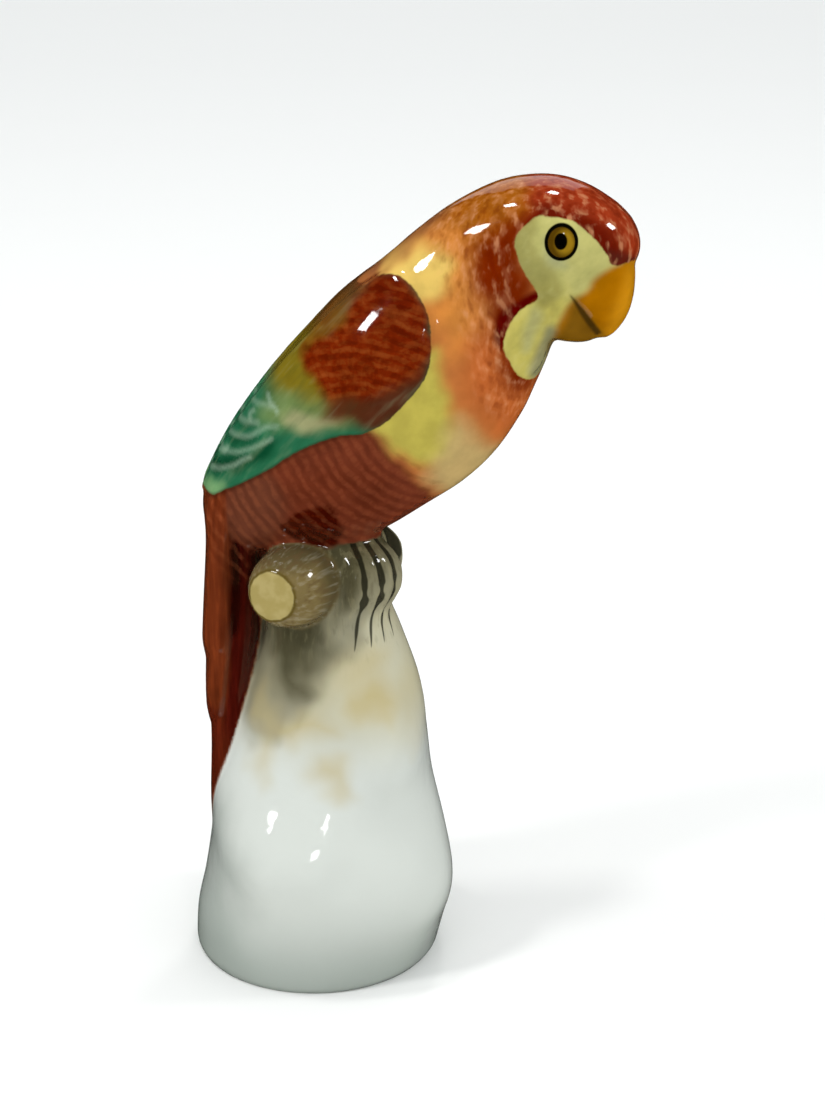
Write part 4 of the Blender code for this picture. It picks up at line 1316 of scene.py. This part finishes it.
wing_deep = brush(wing, rgba(SHIELD_DEEP), 0.62)
wing_pale = brush(wing, rgba(SHIELD_PALE), 0.36)
wing = brush(wing, wing_deep, (covert_wave, 0.80, 0.10), (covert_blots, 0.42, 0.60), shield_share, 0.70)
wing = brush(wing, wing_pale, (covert_wave, 0.30, 1.0), (covert_blots, 0.60, 0.42), shield_share, 0.50)
smudges = speckle(spot, SMUDGE_SIZE, 3.0)
wing = brush(wing, wing_pale, (smudges, 0.48, 0.68), shield_share, 0.35)
wing = brush(wing, wing_deep, (smudges, 0.50, 0.34), shield_share, 0.50)
wing = brush(wing, wing_deep, (covert_hairs, 0.56, 0.36), shield_share, 0.25)
sweep = speckle(leaning, SWEEP_SIZE)
green = add(enamel, MATH, {0: 1.0, 1: shield_share}, operation="SUBTRACT")
wing = brush(wing, brush(wing, rgba(SWEEP_PALE), 0.4), (sweep, 0.48, 0.76), green, 0.28)
wing = brush(wing, brush(wing, rgba(SWEEP_DEEP), 0.5), (sweep, 0.50, 0.26), green, 0.40)
colour = brush(colour, wing, (ragged(wing_depth, 0.8333, 0.3), -0.15, 0.15))
rim_shadow_sides = (wing_depth, -0.9, -0.05), (wing_depth, 0.45, 0.0)
# painted shadow: a dark line under the lower rim of the raised wing, back from the shoulder
colour = brush(colour, rgba(WING_RIM_SHADOW), *rim_shadow_sides, (along, 22.0, 16.0), 0.50)
print("nodes so far:", len(enamel.nodes))

# %% [markdown]
# ## Bare skin and the line of the mouth
# The naked skin is only a little mottled. The mouth is one dark stroke that starts thin at the cheek and
# gets thicker towards the tip, so its half width grows with the way down it.

# %% Skin and mouth
SKIN_LIGHT, SKIN_DARK, MOUTH_LINE = "#E0DC98", "#6E7040", "#32240A"
MOTTLE_SIZE = (2.6, 1.8, 1.8)
MOUTH_START, MOUTH_END = (40.3, 113.3), (45.0, 106.2)

mottled = speckle(leaning, MOTTLE_SIZE)
off_beak = add(enamel, MATH, {0: 1.0, 1: beak_share}, operation="SUBTRACT")
lit_skin = brush(skin_tone, rgba(SKIN_LIGHT), 0.5)
skin_tone = brush(skin_tone, lit_skin, (mottled, 0.48, 0.74), off_beak, 0.22)
dull_skin = brush(skin_tone, rgba(SKIN_DARK), 0.5)
skin_tone = brush(skin_tone, dull_skin, (mottled, 0.50, 0.28), off_beak, 0.25)
length = math.dist(MOUTH_START, MOUTH_END)
way_x, way_z = ((end - start) / length for start, end in zip(MOUTH_START, MOUTH_END))
mouth_corner = (MOUTH_START[0], 0.0, MOUTH_START[1])
from_mouth = add(enamel, VECTOR, {0: spot, 1: mouth_corner}, operation="SUBTRACT")
down_mouth = add(enamel, VECTOR, {0: from_mouth, 1: (way_x, 0.0, way_z)}, operation="DOT_PRODUCT")
down_mouth = down_mouth.outputs["Value"]
off_mouth = add(enamel, VECTOR, {0: from_mouth, 1: (way_z, 0.0, -way_x)}, operation="DOT_PRODUCT")
off_mouth = add(enamel, MATH, {0: off_mouth.outputs["Value"]}, operation="ABSOLUTE")
growth = {"Value": down_mouth, "From Min": -0.5, "From Max": 4.5, "To Min": 0.08, "To Max": 0.52}
half_width = add(enamel, RAMP, growth, interpolation_type="SMOOTHSTEP")
in_line = add(enamel, MATH, {0: half_width, 1: off_mouth}, operation="SUBTRACT")
mouth_ends = (down_mouth, length + 0.6, length - 0.2), (down_mouth, -0.6, 0.4)
skin_tone = brush(skin_tone, rgba(MOUTH_LINE), (in_line, -0.30, 0.30), *mouth_ends, 0.85)
colour = brush(colour, skin_tone, (ragged(bare_depth, 1.111, 0.4), -0.18, 0.18))
print("mouth line:", round(length, 1), "mm long")

# %% [markdown]
# ## The eye
# Three ovals lie on each other: a black ring, an amber iris that is lighter towards the beak, and the
# pupil. Each oval is a distance from the eye's centre, squeezed by its own two radii.

# %% Eye
EYE_LINE, IRIS_SHADE, IRIS_LIGHT, PUPIL_BLACK = "#060502", "#553B06", "#927015", "#050301"
# Half width and half height in mm
EYE_RING, IRIS, IRIS_GLOW, PUPIL = (2.56, 2.86), (2.02, 2.30), (1.5, 1.9), (0.98, 1.30)


def oval(size, shift_x=0.0, shift_z=0.0):
    """1 on the line of an oval near the eye's centre, and less inside it."""
    centre = on_body(EYE_ALONG, EYE_OUT) * MM + Vector((shift_x, 0.0, shift_z))
    away = add(enamel, VECTOR, {0: spot, 1: tuple(centre)}, operation="SUBTRACT")
    squeezed = add(enamel, VECTOR, {0: away, 1: (1 / size[0], 0.0, 1 / size[1])}, operation="MULTIPLY")
    return add(enamel, VECTOR, {0: squeezed}, operation="LENGTH").outputs["Value"]


colour = brush(colour, rgba(EYE_LINE), (oval(EYE_RING), 1.04, 0.96))
amber = brush(rgba(IRIS_SHADE), rgba(IRIS_LIGHT), (oval(IRIS_GLOW, 0.5), 1.3, 0.6))
colour = brush(colour, amber, (oval(IRIS), 1.05, 0.95))
colour = brush(colour, rgba(PUPIL_BLACK), (oval(PUPIL, -0.1, 0.2), 1.12, 0.88))
print("eye ring in mm:", [2 * radius for radius in EYE_RING])

# %% [markdown]
# ## Painted claws and painted shade between the toes
# Each line is one dark brush line beside its toe: below the toes it is the painted claw, and up along the
# toes to the belly it is painted shade in the valley between two toes. The toes stand at even angles
# round the perch, so the angle of a spot tells which lane it lies in, and a curve gives the line's width
# from its tip up to the belly. Below the toes the lines slip sideways, as the brush did.

# %% Wood and claws
GRAIN_DARK, GRAIN_PALE, CLAW_INK_AND_SHADE = "#2A2612", "#A9A078", "#15140A"
GRAIN_SIZE = (1.0, 1.0, 3.5)
# Length in mm over which the pressure on the brush changes
PRESSURE_SIZE = 4.545
CLAW_FIRST, CLAW_STEP, CLAW_LOW, CLAW_HIGH = 17.25, 14.5, 56.0, 74.0
# Height in mm below which the lines slip, and degrees that they slip for each mm
CLAW_BEND_LEVEL, CLAW_BEND = 63.5, 1.1
# Height between CLAW_LOW and CLAW_HIGH as a share, and half the width of a claw line in mm
CLAW_WIDTH = [
    (0.00, 0.00), (0.07, 0.14), (0.25, 0.34), (0.33, 0.32), (0.455, 0.74), (0.55, 0.36), (0.63, 0.68),
    (0.74, 0.56), (0.87, 0.46), (1.00, 0.40),
]

grain = speckle(spot, GRAIN_SIZE, 4.0)
colour = brush(colour, brush(colour, rgba(GRAIN_DARK), 0.6), (grain, 0.52, 0.68), wood_share, 0.45)
colour = brush(colour, brush(colour, rgba(GRAIN_PALE), 0.5), (grain, 0.48, 0.34), wood_share, 0.35)
toward = add(enamel, MATH, {0: x, 1: MM * PERCH_SHIFT}, operation="SUBTRACT")
sideward = add(enamel, MATH, {0: y}, operation="ABSOLUTE")
bearing = add(enamel, MATH, {0: sideward, 1: toward}, operation="ARCTAN2")
bearing = add(enamel, MATH, {0: bearing, 1: math.degrees(1)}, operation="MULTIPLY")
below = add(enamel, MATH, {0: CLAW_BEND_LEVEL, 1: z}, operation="SUBTRACT")
below = add(enamel, MATH, {0: below, 1: 0.0}, operation="MAXIMUM")
slipped = add(enamel, MATH, {0: below, 1: -CLAW_BEND, 2: bearing}, operation="MULTIPLY_ADD")
lane = add(enamel, MATH, {0: slipped, 1: CLAW_FIRST}, operation="SUBTRACT")
lane = add(enamel, MATH, {0: lane, 1: CLAW_STEP}, operation="DIVIDE")
middle_of_lane = add(enamel, MATH, {0: lane}, operation="ROUND")
off_lane = add(enamel, MATH, {0: lane, 1: middle_of_lane}, operation="SUBTRACT")
off_lane = add(enamel, MATH, {0: off_lane}, operation="ABSOLUTE")
from_perch = add(enamel, "ShaderNodeCombineXYZ", {0: toward, 1: y, 2: 0.0})
radius = add(enamel, VECTOR, {0: from_perch}, operation="LENGTH").outputs["Value"]
off_lane = add(enamel, MATH, {0: off_lane, 1: radius}, operation="MULTIPLY")
off_lane = add(enamel, MATH, {0: off_lane, 1: math.radians(CLAW_STEP)}, operation="MULTIPLY")
level = add(enamel, MATH, {0: z, 1: CLAW_LOW}, operation="SUBTRACT")
level = add(enamel, MATH, {0: level, 1: CLAW_HIGH - CLAW_LOW}, operation="DIVIDE")
curve = add(enamel, "ShaderNodeFloatCurve", {"Value": level})
points = curve.mapping.curves[0].points
points[0].location, points[1].location = CLAW_WIDTH[0], CLAW_WIDTH[-1]
for point in CLAW_WIDTH[1:-1]:
    points.new(*point)
curve.mapping.update()
pressure = {"From Min": 0.3, "From Max": 0.7, "To Min": 0.75, "To Max": 1.3}
pressure["Value"] = speckle(spot, PRESSURE_SIZE)
pressure = add(enamel, RAMP, pressure, interpolation_type="SMOOTHSTEP")
broad = add(enamel, MATH, {0: curve, 1: pressure}, operation="MULTIPLY")
in_claw_or_toe_shade = add(enamel, MATH, {0: broad, 1: off_lane}, operation="SUBTRACT")
lanes, ends = ((lane, -0.5, -0.4), (lane, 3.5, 3.4)), ((level, 0.0, 0.03), (level, 1.0, 0.97))
off_plumage = (plumage_share, 0.6, 0.3)
# dark claw paint below the toes, and painted shade in the valleys between the toes above
colour = brush(colour, rgba(CLAW_INK_AND_SHADE), (in_claw_or_toe_shade, -0.15, 0.15), *lanes, *ends, off_plumage, 0.88)
print("claw lines per foot:", TOES_PER_FOOT)

# %% [markdown]
# ## The branch and its sawn end
# Bark strokes run along the branch, so the spot is split into the way down its axis and the way across
# it. Shade lies on its top and where it leaves the stump, and the sawn end is yellow with a thin rim.

# %% Branch strokes
BARK, BARK_SHADE, BARK_BROWN, BARK_PALE = "#796840", "#3E3824", "#5E4A30", "#C2BCA8"
SAWN_RIM, SAWN_DARK, SAWN_PALE = "#5A4A1C", "#9E8E56", "#AA9A64"
# Width and length of a bark stroke in mm, and radius of the sawn end and of the rim round it
BARK_WIDTH, BARK_LENGTH = 0.7, 9.0
SAWN_RADIUS, RIM_RADIUS = 4.0, 4.45

from_root = add(enamel, VECTOR, {0: spot, 1: tuple(BRANCH_ROOT * MM)}, operation="SUBTRACT")
down_branch = add(enamel, VECTOR, {0: from_root, 1: tuple(BRANCH_WAY)}, operation="DOT_PRODUCT")
down_branch = down_branch.outputs["Value"]
axis = add(enamel, VECTOR, {0: tuple(BRANCH_WAY), "Scale": down_branch}, operation="SCALE")
across = add(enamel, VECTOR, {0: from_root, 1: axis}, operation="SUBTRACT")
off_axis = add(enamel, VECTOR, {0: across}, operation="LENGTH").outputs["Value"]
thin = add(enamel, VECTOR, {0: across, "Scale": BARK_LENGTH / BARK_WIDTH}, operation="SCALE")
strokes = add(enamel, VECTOR, {0: thin, 1: axis}, operation="ADD")
bark = speckle(strokes, BARK_LENGTH)
smudge = speckle(spot, 2.857, 3.0)
colour = brush(colour, rgba(BARK), branch_share, 0.92)
near_stump = {"Value": down_branch, "From Min": 15.5, "From Max": 10.5}
near_stump = add(enamel, RAMP, near_stump, interpolation_type="SMOOTHSTEP")
above_axis = add(enamel, "ShaderNodeSeparateXYZ", {0: across}).outputs[2]
on_top = {"Value": above_axis, "From Min": 2.5, "From Max": 6.0}
on_top = add(enamel, RAMP, on_top, interpolation_type="SMOOTHSTEP")
shaded = add(enamel, MATH, {0: near_stump, 1: on_top}, operation="MAXIMUM")
colour = brush(colour, rgba(BARK_SHADE), branch_share, shaded, 0.70)
colour = brush(colour, rgba(BARK_BROWN), branch_share, (bark, 0.44, 0.66), (smudge, 0.35, 0.6), 0.60)
colour = brush(colour, rgba(BARK_PALE), branch_share, (bark, 0.50, 0.28), 0.16)
off_axis = ragged(off_axis, 1.25, 0.5)
at_end = (down_branch, MM * BRANCH_REACH - 1.5, MM * BRANCH_REACH - 0.9)
colour = brush(colour, rgba(SAWN_RIM), (off_axis, RIM_RADIUS, RIM_RADIUS - 0.4), at_end, 0.85)
sawn = brush(rgba(SAWN_DARK), rgba(SAWN_PALE), (speckle(spot, 2.0), 0.35, 0.65))
colour = brush(colour, sawn, (off_axis, SAWN_RADIUS, SAWN_RADIUS - 0.3), at_end)
print("sawn end:", 2 * SAWN_RADIUS, "mm across")

# %% [markdown]
# ## The clear glaze on top
# The enamel under it is matt, and the glaze is a coat: almost smooth, with the refraction of a soft
# feldspar glass. It ripples very slightly, as glaze that has run does, and the colours of the plumage
# are a little cloudy where it lies thicker.

# %% Glaze
GLAZE_CLEAR, GLAZE_BEND = 0.06, 1.45
CLOUD_SIZE, RIPPLE_SIZE = 3.571, 4.545

shader = enamel.nodes["Principled BSDF"]
cloud = {"From Min": 0.3, "From Max": 0.7, "To Min": 0.90, "To Max": 1.08}
cloud["Value"] = speckle(spot, CLOUD_SIZE, 4.0)
cloud = add(enamel, RAMP, cloud, interpolation_type="SMOOTHSTEP")
cloudy = add(enamel, VECTOR, {0: colour, "Scale": cloud}, operation="SCALE")
enamel.links.new(brush(colour, cloudy, plumage_share), shader.inputs["Base Color"])
shader.inputs["Roughness"].default_value = 0.5
shader.inputs["Specular IOR Level"].default_value = 0.0
shader.inputs["Coat Weight"].default_value = 1.0
shader.inputs["Coat IOR"].default_value = GLAZE_BEND
shader.inputs["Coat Roughness"].default_value = GLAZE_CLEAR
ripple = {"Height": speckle(spot, RIPPLE_SIZE), "Strength": 0.25, "Distance": 0.0004}
ripple = add(enamel, "ShaderNodeBump", ripple).outputs["Normal"]
enamel.links.new(ripple, shader.inputs["Normal"])
enamel.links.new(ripple, shader.inputs["Coat Normal"])
print("shader nodes:", len(enamel.nodes))

# %% [markdown]
# ## Bare biscuit under the foot
# The foot ring is wiped clean of glaze so that it doesn't stick to the kiln shelf. Fired bare clay is
# matt, very fine and slightly warm.

# %% Foot ring
BISCUIT_DARK, BISCUIT_PALE = "#CFC9BB", "#E2DED2"
# Size of the grit in metres
GRIT = 0.0004


def biscuit_porcelain():
    """Unglazed, kiln-fired porcelain: fine, matt and slightly warm."""
    material = bpy.data.materials.new("unglazed biscuit porcelain")
    material.use_nodes = True
    tree = material.node_tree
    shader = tree.nodes["Principled BSDF"]
    spot = add(tree, "ShaderNodeTexCoord").outputs["Object"]
    grit = add(tree, "ShaderNodeTexNoise", {"Vector": spot, "Scale": 1 / GRIT, "Detail": 3.0})
    tones = {0: grit, 6: rgba(BISCUIT_DARK), 7: rgba(BISCUIT_PALE)}
    warm = add(tree, "ShaderNodeMix", tones, data_type="RGBA")
    tree.links.new(warm.outputs[2], shader.inputs["Base Color"])
    shader.inputs["Roughness"].default_value = 0.75
    bump = add(tree, "ShaderNodeBump", {"Height": grit, "Strength": 0.3, "Distance": 0.00005})
    tree.links.new(bump.outputs["Normal"], shader.inputs["Normal"])
    return material


cut_mesh.materials.clear()
cut_mesh.materials.append(glazed)
cut_mesh.materials.append(biscuit_porcelain())
bare = 0
for face in cut_mesh.polygons:
    face.use_smooth = True
    if face.normal.z < -0.9 and face.center.z < FOOT_RECESS + 0.0002:
        face.material_index = 1
        bare += 1
print("faces without glaze:", bare)

# %% The figure joins the frame
figure.name = "glazed_parrot"
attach(figure, "root")
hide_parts("parrot_figurine")
triangles = sum(len(face.vertices) - 2 for face in cut_mesh.polygons)
print("glazed_parrot:", triangles, "triangles")

# %% [markdown]
# ## Floor, light and camera
# A product picture of gloss ware needs few, small lights: each one shows as a bright window in the
# glaze. The key softbox stands high on the left, four weaker ones stand round the set, a wide one lights
# the floor behind the figure, and the rest is filled in by a pale room. Room and floor aren't mirrored
# in the glaze, as if black flags stood round the set, because a veil of grey would take the depth out
# of the dark reds. The floor is plain and nearly white.

# %% Floor and room
def plain_floor():
    mesh = bpy.data.meshes.new("floor")
    half = 3.0
    corners = [(-half, -half, 0), (half, -half, 0), (half, half, 0), (-half, half, 0)]
    mesh.from_pydata(corners, [], [(0, 1, 2, 3)])
    floor = new_object("floor", mesh)
    material = bpy.data.materials.new("matt white backdrop paper")
    material.use_nodes = True
    shader = material.node_tree.nodes["Principled BSDF"]
    shader.inputs["Base Color"].default_value = (*linear("#F4F4F2"), 1.0)
    shader.inputs["Roughness"].default_value = 0.9
    shader.inputs["Specular IOR Level"].default_value = 0.1
    mesh.materials.append(material)
    floor.visible_glossy = False


def softbox(name, azimuth, elevation, distance, width, height, power, aim=(0.0, 0.0, 0.075)):
    """Area light that faces the bird. Azimuth 0 stands with the camera and 90 to the right."""
    a, e = math.radians(azimuth), math.radians(elevation)
    aim = Vector(aim)
    back = Vector((math.sin(a) * math.cos(e), -math.cos(a) * math.cos(e), math.sin(e)))
    data = bpy.data.lights.new(name, "AREA")
    data.shape, data.size, data.size_y, data.energy = "RECTANGLE", width, height, power
    lamp = new_object(name, data)
    lamp.location = aim + back * distance
    lamp.rotation_euler = (-back).to_track_quat("-Z", "Y").to_euler()


# Azimuth and elevation in degrees, distance, width and height in metres, and power in watts
SOFTBOXES = {
    "key softbox on the left": (-57, 41.5, 0.9, 0.16, 0.13, 2.4),
    "hair light above": (160, 64, 0.9, 0.09, 0.09, 0.8),
    "high light on the left": (-84, 69, 0.9, 0.11, 0.11, 1.4),
    "side light on the right": (92, 32, 0.9, 0.12, 0.12, 1.2),
    "low light in front": (12, 22, 0.9, 0.09, 0.09, 0.5),
}
# Direction from which the room is brightest, and its strength on the dark and on the bright side
FILL_WAY = (0.58, -0.58, 0.57)
FILL_LOW, FILL_HIGH = 0.30, 1.0
plain_floor()
room = bpy.data.worlds.new("pale room, brighter to the right of the camera")
bpy.context.scene.world = room
room.use_nodes = True
tree = room.node_tree
way = add(tree, "ShaderNodeTexCoord").outputs["Generated"]
towards = add(tree, VECTOR, {0: way, 1: FILL_WAY}, operation="DOT_PRODUCT").outputs["Value"]
level = {"Value": towards, "From Min": -0.7, "To Min": FILL_LOW, "To Max": FILL_HIGH}
level = add(tree, RAMP, level)
tree.nodes["Background"].inputs["Color"].default_value = (0.95, 0.98, 1.0, 1.0)
tree.links.new(level.outputs["Result"], tree.nodes["Background"].inputs["Strength"])
room.cycles_visibility.glossy = False
for name, settings in SOFTBOXES.items():
    softbox(name, *settings)
softbox("background light", 180, 50, 1.5, 1.4, 1.4, 5.0, aim=(0.0, 0.9, 0.0))
bpy.context.scene.view_settings.view_transform = "Standard"
print("softboxes:", len(SOFTBOXES) + 1)

# %% Camera
VIEW_HEIGHT, VIEW_DISTANCE, TARGET = 20.0, 0.420, Vector((0.00063, 0.0, 0.0693))
camera_data = bpy.data.cameras.new("camera")
camera_data.lens, camera_data.sensor_width = 85.4, 36.0
camera_data.clip_start, camera_data.clip_end = 0.01, 20.0
camera = new_object("camera", camera_data)
up = math.radians(VIEW_HEIGHT)
back = Vector((0.0, -math.cos(up), math.sin(up)))
camera.location = TARGET + back * VIEW_DISTANCE
camera.rotation_euler = (-back).to_track_quat("-Z", "Y").to_euler()
bpy.context.scene.camera = camera
print("camera", VIEW_HEIGHT, "degrees above the floor,", VIEW_DISTANCE, "m away")
